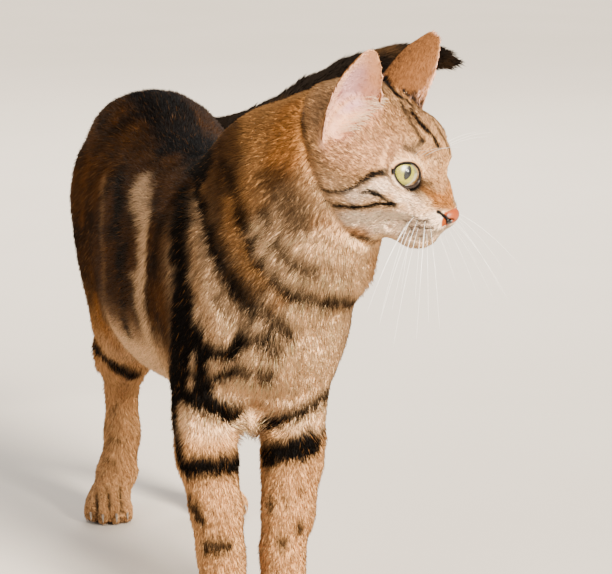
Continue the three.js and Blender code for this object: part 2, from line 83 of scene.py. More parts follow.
def lamp(name, place, size, power, colour):
    data = bpy.data.lights.new(name, "AREA")
    data.shape = "DISK"
    data.size = size
    data.energy = power
    data.color = colour
    item = added(name, data)
    item.location = place
    item.rotation_euler = aimed(Vector(MIDDLE) - Vector(place))


sun_data = bpy.data.lights.new("front_sun", "SUN")
sun_data.energy = 17.0
sun_data.angle = math.radians(22)
sun_data.color = (1.0, 0.91, 0.78)
added("front_sun", sun_data).rotation_euler = aimed(SUN_RUN)
lamp("front_left", (-1.9, -1.2, 1.3), 1.6, 24, (1.0, 0.98, 0.96))
lamp("behind", (0.6, 2.2, 2.0), 1.6, 70, (1.0, 0.96, 0.91))

world = bpy.data.worlds.new("studio")
world.use_nodes = True
sky = world.node_tree.nodes["Background"].inputs
sky["Color"].default_value = (0.96, 0.95, 0.94, 1)
sky["Strength"].default_value = 0.6
bpy.context.scene.world = world


def from_bmesh(name, bm):
    mesh = bpy.data.meshes.new(name)
    bm.to_mesh(mesh)
    bm.free()
    return added(name, mesh)


def material(name, roughness, specular=0.5):
    item = bpy.data.materials.new(name)
    item.use_nodes = True
    shader = item.node_tree.nodes["Principled BSDF"]
    shader.inputs["Roughness"].default_value = roughness
    shader.inputs["Specular IOR Level"].default_value = specular
    return item, item.node_tree, shader


def node(tree, kind, **settings):
    """A node of a material. A setting that is another node's output is linked to it."""
    item = tree.nodes.new(kind)
    for key, value in settings.items():
        if isinstance(value, bpy.types.NodeSocket):
            tree.links.new(value, item.inputs[key])
        elif key in item.inputs:
            item.inputs[key].default_value = value
        else:
            setattr(item, key, value)
    return item


def ramp(tree, amount, *stops):
    """Tones along an amount: each stop is its position and its tone."""
    item = node(tree, "ShaderNodeValToRGB", Fac=amount)
    elements = item.color_ramp.elements
    for element, (position, tone) in zip(elements, (stops[0], stops[-1])):
        element.position = position
        element.color = (*tone, 1)
    for position, tone in stops[1:-1]:
        elements.new(position).color = (*tone, 1)
    return item.outputs["Color"]


def grained(name, roughness, specular, scale, detail, dark_tone, light_tone):
    """A material that wanders between two tones with a grain of the given scale."""
    item, tree, shader = material(name, roughness, specular)
    place = node(tree, "ShaderNodeTexCoord").outputs["Object"]
    grain = node(tree, "ShaderNodeTexNoise", Vector=place, Scale=scale, Detail=detail).outputs["Fac"]
    tree.links.new(ramp(tree, grain, (0, dark_tone), (1, light_tone)), shader.inputs["Base Color"])
    return item


floor_look = grained("floor", 0.75, 0.3, 3.0, 6.0, (0.58, 0.52, 0.45), (0.64, 0.58, 0.51))
bm = bmesh.new()
bmesh.ops.create_grid(bm, x_segments=8, y_segments=8, size=FLOOR_SIZE)
floor = from_bmesh("floor", bm)
floor.data.materials.append(floor_look)

# ---------------------------------------------------------------- skin
# The flesh under the coat, one skin from nose to tail tip. It is the joined
# body, fine meshed, with the facets smoothed out and then drawn in by the
# depth of the coat that lies on it.
PARTS = {
    "head": ["head", "eye_left", "eye_right", "nose"],
    "ear": ["ear_left", "ear_right"],
    "neck": ["neck"],
    "trunk": ["trunk"],
    "shoulder": ["shoulder_left", "shoulder_right"],
    "thigh": ["thigh_left", "thigh_right"],
    "foreleg": ["foreleg_left", "foreleg_right"],
    "hindleg": ["shank_left", "shank_right", "hock_left", "hock_right"],
    "forefoot": ["forefoot_left", "forefoot_right"],
    "hindfoot": ["hindfoot_left", "hindfoot_right"],
    "tail": ["tail_root", "tail_middle", "tail_tip"],
}
GROUPS = list(PARTS)
EAR_SWELL = 0.65
SKIN_CELL = 1.4 * MM
SKIN_TRIANGLES = 150000
DOUBLES = 0.00002
SOFTENING = (("soft", 90), ("nape", 320), ("", 3))
HEAD_SCALE = 0.95
HEAD_AT = np.array([-14.466, -205.868, 285.5])
HEAD_YAW = math.radians(47.3)
HEAD_PITCH = math.radians(18.9)
HEAD_ROLL = math.radians(3.2)
SMOOTHING = {"head": 0.10, "ear": 0.07, "neck": 0.8, "foreleg": 0.35, "hindleg": 0.35, "forefoot": 0.1,
             "hindfoot": 0.1, "tail": 0.5}
COAT_DEPTH = {"head": 0.5, "ear": 0.8, "neck": 3.2, "trunk": 3.2, "shoulder": 2.6, "thigh": 2.8,
              "foreleg": 1.8, "hindleg": 1.7, "forefoot": 1.0, "hindfoot": 1.0, "tail": 3.0}


def joined(names):
    """One bmesh of the named solids, each closed by merging its loose corners."""
    bm = bmesh.new()
    marks = []
    for name in names:
        part = bmesh.new()
        part.from_mesh(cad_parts[name].data)
        bmesh.ops.remove_doubles(part, verts=part.verts, dist=DOUBLES)
        if name in PARTS["ear"]:
            for vert, push in [(v, v.normal * EAR_SWELL * MM) for v in part.verts]:
                vert.co += push
        mesh = bpy.data.meshes.new("part")
        part.to_mesh(mesh)
        part.free()
        bm.from_mesh(mesh)
        bpy.data.meshes.remove(mesh)
        marks += [name] * (len(bm.faces) - len(marks))
    return bm, marks


all_nodes = [name for names in PARTS.values() for name in names]
flesh_nodes = [name for name in all_nodes if name not in PARTS["head"][1:]]
bm, face_names = joined(all_nodes)
node_group = {name: GROUPS.index(group) for group, names in PARTS.items() for name in names}
face_group = [node_group[name] for name in face_names]
flesh_tree = BVHTree.FromBMesh(bm)
skin = from_bmesh("skin", bm)


def read(mesh, kind="vertices", key="co", width=3):
    """One value, or a row of them, for each corner, edge or face of a mesh."""
    values = np.empty(len(getattr(mesh, kind)) * width, dtype=np.float32 if key != "vertices" else np.int32)
    getattr(mesh, kind).foreach_get(key, values)
    return values.reshape(-1, width) if width > 1 else values


def apply_modifiers(item):
    graph = bpy.context.evaluated_depsgraph_get()
    mesh = bpy.data.meshes.new_from_object(item.evaluated_get(graph))
    old = item.data
    item.modifiers.clear()
    item.data = mesh
    bpy.data.meshes.remove(old)


def edges_of(mesh):
    return read(mesh, "edges", "vertices", 2)


def spread(values, edges, rounds):
    """Averages values over the mesh, a few rounds of neighbour means."""
    values = values.astype(np.float64)
    count = np.bincount(edges.ravel(), minlength=len(values)).clip(1)
    for _ in range(rounds):
        total = np.zeros_like(values)
        for column in range(values.shape[1]):
            total[:, column] = np.bincount(edges[:, 0], values[edges[:, 1], column], len(values))
            total[:, column] += np.bincount(edges[:, 1], values[edges[:, 0], column], len(values))
        values = 0.5 * values + 0.5 * total / count[:, None]
    return values


def group_weights(mesh, rounds):
    """How much each corner belongs to each part of the body, from the solid nearest to it."""
    places = read(mesh)
    weights = np.zeros((len(places), len(GROUPS)))
    for i, p in enumerate(places):
        face = flesh_tree.find_nearest(p)[2]
        weights[i, face_group[face]] = 1.0
    return spread(weights, edges_of(mesh), rounds)


def part_of(weights, name):
    return weights[:, GROUPS.index(name)]


def by_group(weights, table, default):
    """A value for each corner, from the table's value for each part of the body."""
    return weights @ np.array([table.get(group, default) for group in GROUPS])


def head_axes():
    """The head's left, forward and up in the room."""
    ahead = math.cos(HEAD_PITCH)
    forward = np.array([math.sin(HEAD_YAW) * ahead, -math.cos(HEAD_YAW) * ahead, -math.sin(HEAD_PITCH)])
    flat = np.array([math.cos(HEAD_YAW), math.sin(HEAD_YAW), 0.0])
    up = np.cross(flat, forward)
    up = up if up[2] > 0 else -up
    c, s = math.cos(HEAD_ROLL), math.sin(HEAD_ROLL)
    return np.array([flat * c + up * s, forward, up * c - flat * s])


AXES = head_axes()


def to_head(places):
    return (np.asarray(places) / MM - HEAD_AT) @ AXES.T / HEAD_SCALE


def from_head(local):
    return (np.asarray(local) * HEAD_SCALE @ AXES + HEAD_AT) * MM


def step(low, high, x):
    """From 0 at low to 1 at high, with soft ends."""
    t = np.clip((x - low) / (high - low), 0, 1)
    return t * t * (3 - 2 * t)


def remeshed(item, cell):
    remesh = item.modifiers.new("remesh", "REMESH")
    remesh.mode = "VOXEL"
    remesh.voxel_size = cell


def smoothed(item, rounds, group=""):
    smooth = item.modifiers.new("smooth", "SMOOTH")
    smooth.factor = 0.5
    smooth.iterations = rounds
    smooth.vertex_group = group


remeshed(skin, SKIN_CELL)
apply_modifiers(skin)

# The back of the skull is as soft as the body, and the fold where skull and
# neck meet is smoothed longest; the head and ears are never thinned out.
weights = group_weights(skin.data, 6)
rough_places = to_head(read(skin.data))
softness = by_group(weights, SMOOTHING, 1.0)
softness = np.maximum(softness, part_of(weights, "head") * 0.8 * step(-24, -36, rough_places[:, 1]))
crease = 4 * part_of(weights, "head") * part_of(weights, "neck")
crease = spread(crease[:, None], edges_of(skin.data), 70)[:, 0]
crease = step(0.04, 0.2, crease / crease.max()) * step(-34, -20, rough_places[:, 2])
body = (1 - (part_of(weights, "head") + part_of(weights, "ear")) * 1.3).clip(0)
for name, values in (("soft", softness), ("body", body), ("nape", crease)):
    group = skin.vertex_groups.new(name=name)
    for i, value in enumerate(values):
        group.add([i], float(value), "REPLACE")
for name, rounds in SOFTENING:
    smoothed(skin, rounds, name)
thin = skin.modifiers.new("thin", "DECIMATE")
thin.ratio = min(1.0, SKIN_TRIANGLES / (2 * len(skin.data.polygons)))
thin.vertex_group = "body"
apply_modifiers(skin)

# ---------------------------------------------------------------- head
# Sockets, lids, brow, muzzle and lips are shaped in the skin of the head, in
# the head's own axes: X to the cat's left, Y forward, Z up, from midway
# between the eyes, in the head's own millimetres.
EYE_RADIUS = 10.6
EYE_LOCAL = (17.2, 4.4, -0.2)
EYE_LOOK = (0.55, 0.79, 0.27)
EYE_TILT = math.radians(17.0)
OPENING = {"inner": 10.6, "outer": 11.2, "upper": 7.9, "lower": 8.2}
BALL = EYE_RADIUS / HEAD_SCALE
MOUTH = [(0, 35.3, -30.5), (3, 34.2, -34), (6.5, 31.2, -36.8), (10, 26, -38.6), (13, 20, -39),
         (15.5, 13, -37.6), (18, 6, -35)]
LEATHER = [(0, 39, -17.5), (5.5, 38, -19.0), (7.5, 37.2, -20.5)]
EAR_BOWL = [(36.0, -35.0, 16.5), (32.0, -33.5, 23.0), (23.5, -29.5, 32.0)]
PHILTRUM = [(0, 38.5, -24.5), (0, 36.8, -27.5), (0, 35.3, -30.5)]
THROAT = np.array([-3, 2, -66])
THROAT_REACH = np.array([22, 20, 24])
SKIN_LOWEST = 0.0003


def eye_frame(side):
    """Centre of an eye and its axes: towards the inner corner, up, and where it looks."""
    centre = np.array([side * EYE_LOCAL[0], EYE_LOCAL[1], EYE_LOCAL[2]])
    look = np.array([side * EYE_LOOK[0], EYE_LOOK[1], EYE_LOOK[2]])
    look /= np.linalg.norm(look)
    inward = np.cross(look, [0, 0, 1.0]) * side
    inward /= np.linalg.norm(inward)
    inward = inward if inward[0] * side < 0 else -inward
    up = np.cross(inward, look)
    up = up if up[2] > 0 else -up
    c, s = math.cos(EYE_TILT), math.sin(EYE_TILT)
    return centre, inward * c - up * s, up * c + inward * s, look


def opening_reach(u, v):
    """Over 1 outside the gap between the lids, under 1 inside it."""
    across = np.where(u > 0, np.abs(u) / OPENING["inner"], np.abs(u) / OPENING["outer"])
    rise = np.where(v > 0, np.abs(v) / OPENING["upper"], np.abs(v) / OPENING["lower"])
    return (across ** np.where(u > 0, 1.45, 1.8) + rise ** 1.9) ** (1 / 1.85)


def around_eye(axes, out, far):
    """Directions from an eye, their places across and up on its ball, and mm outside its lids."""
    inward, up, look = axes
    d = out / far[:, None]
    angle = np.arccos(np.clip(d @ look, -1, 1))
    turn = np.stack([d @ inward, d @ up], 1)
    turn /= np.linalg.norm(turn, axis=1)[:, None].clip(1e-6)
    u, v = (turn * (angle * BALL)[:, None]).T
    return d, u, v, (opening_reach(u, v) - 1) * OPENING["lower"]


bm = bmesh.new()
bm.from_mesh(skin.data)


def refine(centre, reach, least):
    """Splits the longer edges near a point of the head."""
    middle = Vector(from_head(np.array(centre)))
    edges = [e for e in bm.edges if e.calc_length() > least * MM
             and ((e.verts[0].co + e.verts[1].co) / 2 - middle).length < reach * MM]
    bmesh.ops.subdivide_edges(bm, edges=edges, cuts=1, use_grid_fill=True)
    bmesh.ops.triangulate(bm, faces=[f for f in bm.faces if len(f.verts) > 4])


for side in (-1, 1):
    refine((side * 19, 8, 0), 17, 0.9)
    refine((side * 19, 8, 0), 15, 0.6)
refine((0, 30, -22), 19, 0.9)
bmesh.ops.triangulate(bm, faces=bm.faces)
bm.to_mesh(skin.data)
bm.free()

weights = group_weights(skin.data, 5)
edges = edges_of(skin.data)
places = read(skin.data).astype(np.float64)
normals = read(skin.data, "vertices", "normal").astype(np.float64)
depth = by_group(weights, COAT_DEPTH, 2.5)
places -= normals * (depth * MM)[:, None]

local = to_head(places)
near_head = part_of(weights, "head") > 0.02
for side in (-1, 1):
    centre, *axes = eye_frame(side)
    out = local - centre
    far = np.linalg.norm(out, axis=1)
    chosen = near_head & (far < 24) & (out @ axes[2] / far.clip(0.01) > 0.05)
    d, u, v, outside = around_eye(axes, out[chosen], far[chosen])
    lid = BALL + 0.9 + 0.5 * step(0, 2.0, outside)
    fade = step(0.5, 7.5 + 2.5 * (v > 0), outside)
    radius = lid * (1 - fade) + np.maximum(far[chosen], BALL + 1.0) * fade
    radius = np.where(outside > 0, radius, lid - 4.3 * step(0, 1.0, -outside))
    local[chosen] = centre + d * radius[:, None]


def line_distance(spots, line, side=1):
    """Distance from each spot to a run of points, mirrored to a side of the head."""
    best = np.full(len(spots), 99.0)
    line = np.array(line, dtype=float) * (side, 1, 1)
    for a, b in zip(line, line[1:]):
        run = b - a
        t = np.clip((spots - a) @ run / (run @ run), 0, 1)
        best = np.minimum(best, np.linalg.norm(spots - a - t[:, None] * run, axis=1))
    return best


def either_side(spots, line):
    return np.minimum(line_distance(spots, line), line_distance(spots, line, -1))


out_local = normals @ AXES.T
sides = np.abs(local) * np.array([1, 0, 0]) + local * np.array([0, 1, 1])


def swell(centre, size, rise):
    """A soft rise or hollow on both sides of the head."""
    gap = np.linalg.norm((sides - centre) / size, axis=1)
    return rise * (1 - step(0, 1, gap))


# Whisker pads and brow, the bowls of the ears, cheeks, hollows by the nose, and the bridge.
push = swell((11, 27, -30), (9, 12, 9), 1.5) + swell((0, 20, 14), (14, 17, 15), 4.6)
for side in (-1, 1):
    bowl = line_distance(local, EAR_BOWL, side)
    push -= 3.4 * (1 - step(2.0, 9.0, bowl)) * (1 - step(0, 6, local[:, 0] * -side))
push += swell((24, -2, -13), (16, 16, 12), 0.8)
push += swell((11, 21, -10), (6, 12, 6), -1.2)
push += swell((0, 28, -3), (8, 13, 11), 1.6)
philtrum_gap = line_distance(local, PHILTRUM)
push -= 2.0 * np.exp(-(either_side(local, MOUTH) / 1.1) ** 2) + 0.9 * np.exp(-(philtrum_gap / 0.8) ** 2)
push *= part_of(weights, "head").clip(0, 1)
throat = np.linalg.norm((local - THROAT) / THROAT_REACH, axis=1)
push -= 5.5 * (1 - step(0, 1, throat))
near_head |= throat < 1
local += out_local * push[:, None]
places[near_head] = from_head(local[near_head])

# Toes: each paw stands at a spot on the floor, turned out by some degrees; grooves part its toes, and the
# same grooves are painted dark as shade further on.
PAWS = {
    "forefoot_right": (-113.4, -161.8, -4, 36), "forefoot_left": (-72.2, -161.8, 4, 36),
    "hindfoot_right": (-122.3, 132.2, -9, 35), "hindfoot_left": (-43.8, 126.2, 9, 35),
}
in_foot = part_of(weights, "forefoot") + part_of(weights, "hindfoot")
toe_grooves_and_shade = np.zeros(len(places))
for at_x, at_y, turn, wide in PAWS.values():
    c, s = math.cos(math.radians(turn)), math.sin(math.radians(turn))
    dx, dy = places[:, 0] / MM - at_x, places[:, 1] / MM - at_y
    across, ahead = dx * c + dy * s, dx * s - dy * c
    own = in_foot * (np.abs(across) < 26) * (np.abs(ahead) < 45)
    for offset, start in ((0, 4), (-0.25 * wide, 0), (0.25 * wide, 0)):
        cut = np.exp(-((across - offset) / 1.25) ** 2) * step(start, start + 7, ahead)
        toe_grooves_and_shade = np.maximum(toe_grooves_and_shade, own * cut)
places -= normals * (toe_grooves_and_shade * 2.3 * MM)[:, None]
places[:, 2] = np.maximum(places[:, 2], SKIN_LOWEST)
skin.data.vertices.foreach_set("co", places.astype(np.float32).ravel())
skin.data.update()


def smooth_faces(item):
    item.data.polygons.foreach_set("use_smooth", np.ones(len(item.data.polygons), dtype=bool))


smooth_faces(skin)

# ---------------------------------------------------------------- markings
# A spotted and banded tabby: warm tan ground, cream below, brown-black bands.
# Each mark is a run of points in the camera's picture with its half width in
# millimetres; it is laid on the skin there, and mirrored to the far side.
CREAM = np.array([0.94, 0.60, 0.33])
WHITE = np.array([0.96, 0.70, 0.50])
PEACH = np.array([0.83, 0.44, 0.24])
TAN = np.array([0.45, 0.21, 0.065])
GREY_TAN = np.array([0.31, 0.165, 0.07])
OCHRE = np.array([0.26, 0.095, 0.018])
LEG_TAN = np.array([0.62, 0.33, 0.14])
BROWN = np.array([0.030, 0.013, 0.0045])
DARK = np.array([0.0030, 0.0020, 0.0014])
EAR_BACK = np.array([0.155, 0.058, 0.019])
EAR_PINK = np.array([0.70, 0.38, 0.26])
EAR_HEM = np.array([0.42, 0.20, 0.07])
NOSE_TONE = np.array([0.28, 0.050, 0.005])
PAD_TONE = np.array([0.045, 0.03, 0.026])

# Broad soft tones first: colour, half width, softness, strength, run.
body_tones = [
    (CREAM * 0.62, 8, 4, 0.95, [(141, 185), (146, 225), (143, 265), (140, 300), (147, 330)]),
    (CREAM * 0.8, 6, 5, 0.7, [(150, 335), (158, 365)]),
    (GREY_TAN, 2.5, 2, 0.7, [(190, 212), (194, 250), (199, 300), (212, 335)]),
    (GREY_TAN, 2.5, 3, 0.55, [(106, 180), (104, 230), (106, 290)]),
    (OCHRE * 0.5, 4, 4, 0.5, [(165, 125), (185, 133), (200, 131)]),
    (OCHRE * 0.5, 4, 4, 0.45, [(95, 130), (88, 170), (84, 220)]),
    (OCHRE * 1.2, 4, 4, 0.5, [(98, 300), (106, 330), (118, 345)]),
]
neck_tones = [
    (BROWN * 1.3, 12, 7, 0.9, [(212, 150), (214, 190), (220, 230), (232, 268), (243, 290)]),
    (BROWN * 1.6, 11, 6, 0.9, [(226, 135), (230, 175), (236, 210)]),
    (TAN * 0.75, 10, 5, 0.8, [(258, 125), (262, 160), (252, 200)]),
    (TAN * np.array([0.85, 0.72, 0.55]), 9, 5, 0.8, [(288, 112), (285, 135), (282, 160)]),
    (BROWN * 1.5, 9, 6, 0.8, [(272, 185), (285, 205), (300, 222)]),
    (TAN, 4, 4, 0.7, [(232, 205), (230, 235), (250, 270), (280, 300)]),
    (CREAM, 5, 4, 0.8, [(262, 240), (280, 268), (310, 285), (345, 285)]),
    (CREAM, 12, 8, 0.9, [(300, 330), (315, 360), (330, 340)]),
    (CREAM, 4, 4, 0.8, [(285, 250), (303, 246), (322, 252), (345, 262)]),
]
ear_tones = [
    (np.array([0.52, 0.29, 0.30]), 6.5, 6, 0.9, [(352, 76), (349, 92), (350, 106), (356, 114)]),
    (np.array([0.72, 0.36, 0.17]), 4, 5, 0.8, [(376, 52), (380, 66), (379, 82)]),
    (np.array([0.24, 0.09, 0.08]), 1.8, 2, 0.8, [(337, 91), (342, 98)]),
    (np.array([0.24, 0.09, 0.08]), 1.6, 2, 0.75, [(334, 111), (338, 116)]),
    (np.array([0.46, 0.22, 0.22]), 1.6, 2.5, 0.8, [(345, 97), (350, 108), (358, 116)]),
]
face_tones = [
    (PEACH, 8, 7, 0.45, [(340, 150), (365, 148), (392, 152)]),
    (PEACH, 6, 4, 0.8, [(350, 122), (368, 118)]),
    (WHITE * 0.95, 3.5, 3, 0.9, [(352, 196), (376, 188), (394, 184)]),
    (WHITE * 0.95, 3.5, 3, 0.9, [(396, 193), (408, 196), (418, 203)]),
    (WHITE, 5, 3, 0.95, [(345, 219), (368, 217), (398, 215)]),
    (WHITE, 5, 4, 0.9, [(372, 228), (388, 226), (402, 226)]),
    (OCHRE * 1.3, 4, 4, 0.7, [(318, 222), (338, 230), (360, 234)]),
    (BROWN * 1.5, 1.6, 2, 0.7, [(352, 236), (364, 238), (373, 241)]),
    (WHITE, 7, 4, 0.9, [(408, 236), (425, 232), (440, 226)]),
    (WHITE, 4, 3, 0.9, [(405, 246), (420, 249)]),
    (CREAM * 1.05, 3, 2.5, 0.85, [(432, 158), (432, 172), (430, 184)]),
    (CREAM * 0.9, 3, 3, 0.4, [(398, 153), (412, 150)]),
    (OCHRE * 1.1, 3.5, 3, 0.9, [(436, 200), (446, 204), (452, 206)]),
    (OCHRE * 1.3, 3.5, 3, 0.7, [(448, 165), (449, 180), (451, 194)]),
]
body_marks = [
    (5.0, 1.0, [(199, 190), (203, 208), (207, 227), (216, 249), (226, 269), (236, 288), (246, 304),
                (257, 313), (269, 319), (288, 338)]),
    (3.2, 0.95, [(225, 165), (233, 178), (238, 200), (247, 235)]),
    (4.8, 1.0, [(240, 215), (247, 235), (253, 255), (268, 277), (292, 296), (315, 303), (352, 301)]),
    (3.4, 0.9, [(262, 215), (270, 240), (288, 262), (310, 274)]),
    (2.2, 0.7, [(300, 262), (320, 272), (350, 276)]),
    (5.2, 1.0, [(200, 343), (210, 353), (222, 358), (234, 350), (245, 337), (260, 342), (275, 353)]),
    (4.6, 1.0, [(218, 378), (230, 372), (242, 371), (255, 373), (270, 379)]),
    (2.4, 0.7, [(215, 300), (228, 318), (243, 325)]),
    (10, 1.0, [(183, 200), (180, 250), (184, 300), (181, 350), (176, 395)]),
    (6, 1.0, [(196, 330), (200, 360), (205, 395)]),
    (12, 1.0, [(172, 150), (195, 140), (205, 170)]),
    (7, 1.0, [(196, 170), (205, 150), (215, 140)]),
    (6.5, 0.95, [(120, 180), (119, 220), (120, 260), (124, 300), (128, 330)]),
    (16, 0.95, [(150, 92), (170, 108), (178, 128)]),
]
leg_marks = [
    (7.5, 1.0, [(172, 388), (185, 395), (203, 404), (222, 412), (238, 416)]),
    (4.6, 1.0, [(174, 400), (176, 430), (182, 462)]),
    (7.0, 1.0, [(188, 470), (205, 468), (222, 467), (236, 466)]),
    (4.2, 0.95, [(187, 497), (194, 508), (202, 522)]),
    (2.0, 0.9, [(189, 530), (192, 536)]),
    (4.0, 0.95, [(208, 549), (216, 549), (226, 547)]),
    (0.9, 0.6, [(212, 518), (218, 522)]),
    (0.9, 0.6, [(230, 500), (233, 508)]),
    (4.6, 1.0, [(266, 424), (282, 420), (300, 415), (318, 402), (328, 393)]),
    (8.0, 1.0, [(268, 455), (282, 453), (300, 450), (312, 444)]),
    (2.6, 1.0, [(327, 418), (322, 434), (317, 450)]),
    (3.0, 0.9, [(269, 503), (271, 509)]),
    (3.0, 0.9, [(298, 527), (300, 533)]),
    (3.0, 0.9, [(282, 543), (284, 548)]),
    (1.0, 0.6, [(285, 500), (290, 512)]),
    (1.0, 0.6, [(300, 480), (304, 492)]),
    (6.0, 1.0, [(94, 343), (106, 357), (118, 368), (133, 376)]),
    (1.6, 0.7, [(106, 410), (114, 413)]),
    (1.8, 0.7, [(107, 426), (113, 427)]),
    (2.0, 0.6, [(111, 441), (118, 443)]),
    (1.6, 0.6, [(105, 463), (113, 465)]),
]
face_marks = [
    (2.1, 1.0, [(390, 172), (384, 172), (377.8, 173), (370, 176), (363.8, 179)]),
    (1.7, 1.0, [(363.8, 179), (352, 187), (338, 191.7), (328, 191), (321.7, 188), (315, 182)]),
    (1.6, 1.0, [(391, 205), (380, 203), (368, 205.5), (356.8, 207), (340.4, 205.7), (330, 203),
                (321.7, 200)]),
    (1.5, 1.0, [(394, 205), (386, 200), (380, 196.4), (374, 193), (368.5, 190.5), (362, 193)]),
    (3.0, 1.0, [(385, 79), (389, 87), (394, 94), (400, 98)]),
    (1.8, 1.0, [(399, 97), (406, 101), (410.6, 106), (412, 113), (417.6, 121.5), (427, 131), (434, 138),
                (437.5, 147)]),
    (1.5, 0.9, [(400, 103), (406, 114), (411, 124), (417, 133), (422, 140)]),
    (1.6, 1.0, [(403.5, 91), (412, 98), (420, 105), (428, 113), (436, 121.5), (445, 133), (449, 145)]),
    (1.3, 0.8, [(415, 93), (426, 103), (437, 114), (446, 126)]),
    (2.0, 1.0, [(421, 141), (424, 148), (428, 155)]),
    (1.3, 0.85, [(428, 100), (438, 112), (446, 124), (451, 136)]),
    (1.2, 0.8, [(432, 120), (439, 131), (445, 142), (449, 152)]),
    (1.1, 0.7, [(440, 104), (448, 117), (453, 131)]),
    (1.0, 0.6, [(424, 122), (431, 133), (437, 143)]),
    (1.6, 0.8, [(404, 147), (410, 148.5), (415, 153)]),
    (1.4, 1.0, [(420, 178), (423, 185), (426, 190), (429, 195)]),
    (1.8, 0.7, [(352, 236), (364, 238), (375, 242)]),
]
WHISKER_ROOTS = [(414.7, 217), (404.7, 219.9), (410.5, 220.7), (418.4, 220.3), (425.5, 221), (411.8, 228),
                 (419, 227), (425.5, 227.8), (430.8, 227.8), (402, 236), (411, 235), (420.5, 235)]
back_marks = [
    (4.0, 0.8, [(304, 118), (308, 130), (312, 146)]),
]

weights = weights / weights.sum(1)[:, None]
skin_bm = bmesh.new()
skin_bm.from_mesh(skin.data)
skin_tree = BVHTree.FromBMesh(skin_bm)
skin_bm.free()
MID_X = -89.766 * MM
MARK_REACH = 0.03
RING_STEP = 31


def laid(points, gap=3.0):
    """Points of a mark on the skin, every few units along its run."""
    found = []
    for (ax, ay), (bx, by) in zip(points, points[1:]):
        steps = max(1, int(math.hypot(bx - ax, by - ay) / gap))
        for k in range(steps + 1):
            t = k / steps
            hit = skin_tree.ray_cast(EYE_POINT, sight(ax + (bx - ax) * t, ay + (by - ay) * t))[0]
            if hit is not None:
                found.append(hit)
    return np.array(found)


def chain_distance(chain, spots):
    """Distance in mm from each spot to the nearest point of the chain."""
    low = chain.min(0) - MARK_REACH
    high = chain.max(0) + MARK_REACH
    inside = np.flatnonzero(np.all((spots > low) & (spots < high), axis=1))
    distance = np.full(len(spots), 99.0)
    if len(inside):
        gaps = np.linalg.norm(spots[inside, None, :] - chain[None, :, :], axis=2)
        distance[inside] = gaps.min(1) / MM
    return distance


def rough(spots, size, seed):
    """Soft noise at each spot, about -0.6 to 0.6."""
    shift = Vector((seed, 3 * seed, 7))
    return np.array([noise.noise(Vector(spot) * size + shift) for spot in spots])


wobble = rough(places, 110, 1)
fine_wobble = rough(places, 420, 2)
mirror = places.copy()
mirror[:, 0] = 2 * MID_X - mirror[:, 0]
head_mirror = from_head(to_head(places) * np.array([-1, 1, 1]))
seen = np.zeros(len(places))
for i, p in enumerate(places):
    ray = Vector(p) - EYE_POINT
    hit, _, _, distance = skin_tree.ray_cast(EYE_POINT, ray.normalized())
    seen[i] = 1.0 if hit is not None and distance > ray.length - 0.004 else 0.0
seen = spread(seen[:, None], edges, 10)[:, 0]
hidden = 1 - step(0.25, 0.75, seen)


def ink(distance, half, strength, ragged):
    """How dark a mark is at some distance from its middle line; its edge may be ragged."""
    near = distance + (wobble * 2.2 + fine_wobble * 1.2) * ragged
    return strength * (1 - step(half - 0.45 * ragged - 0.2, half + 0.55 * ragged + 0.3, near))


def mixed_in(base, tone, amount):
    return base * (1 - amount[:, None]) + np.asarray(tone) * amount[:, None]


local = to_head(places)
hx, hy, hz = local.T
share = {name: weights[:, i] for i, name in enumerate(GROUPS)}
x, y, z = (places / MM).T
side_x = x - MID_X / MM
face = share["head"]
mottle = rough(places, 60, 5)
upper = share["trunk"] + share["thigh"] + share["shoulder"]
ground = np.tile(TAN, (len(places), 1))
deepness = (0.5 + 0.9 * mottle).clip(0, 1)[:, None]
deep = BROWN * 0.36 * (1 - deepness) + OCHRE * 0.27 * deepness
upness = upper * step(120, 185, z + 12 * wobble)
ground = ground * (1 - upness[:, None]) + deep * upness[:, None]
belly = (share["trunk"] + 0.4 * upper) * step(0.1, 0.7, -normals[:, 2]) * step(200, 160, z)
chest = (share["trunk"] + share["shoulder"] + share["neck"]) * step(0.0, 0.75, -normals[:, 1])
chest = chest * step(-105, -140, y) * step(300, 250, z)
inner_leg = share["shoulder"] * step(175, 130, z)
for tone, amount in (
        (CREAM * 0.9, belly),
        (CREAM, 0.9 * np.maximum(chest, inner_leg)),
        (LEG_TAN, 0.9 * (share["foreleg"] + share["forefoot"])),
        (LEG_TAN * 0.8, 0.9 * (share["hindleg"] + share["hindfoot"]))):
    ground = mixed_in(ground, tone, amount.clip(0, 1))
dark = np.zeros(len(places))


def lay(marks, other, kind, ragged, limit):
    """Lays tones or dark marks where they are seen, and mirrored where they aren't."""
    global ground, dark
    for mark in marks:
        chain = laid(mark[-1])
        if len(chain) == 0:
            continue
        near = chain_distance(chain, places)
        away = chain_distance(chain, other)
        if kind == "tone":
            tone, half, soft, strength = mark[:4]
            for gap, where in ((near, limit), (away, limit * hidden)):
                gap = gap + wobble * 3 + fine_wobble * 1.5
                amount = strength * where * (1 - step(half - soft * 0.5, half + soft, gap))
                ground = mixed_in(ground, tone, amount)
        else:
            half, strength = mark[:2]
            dark = np.maximum(dark, limit * ink(near, half, strength, ragged))
            dark = np.maximum(dark, limit * hidden * ink(away, half, strength, ragged))


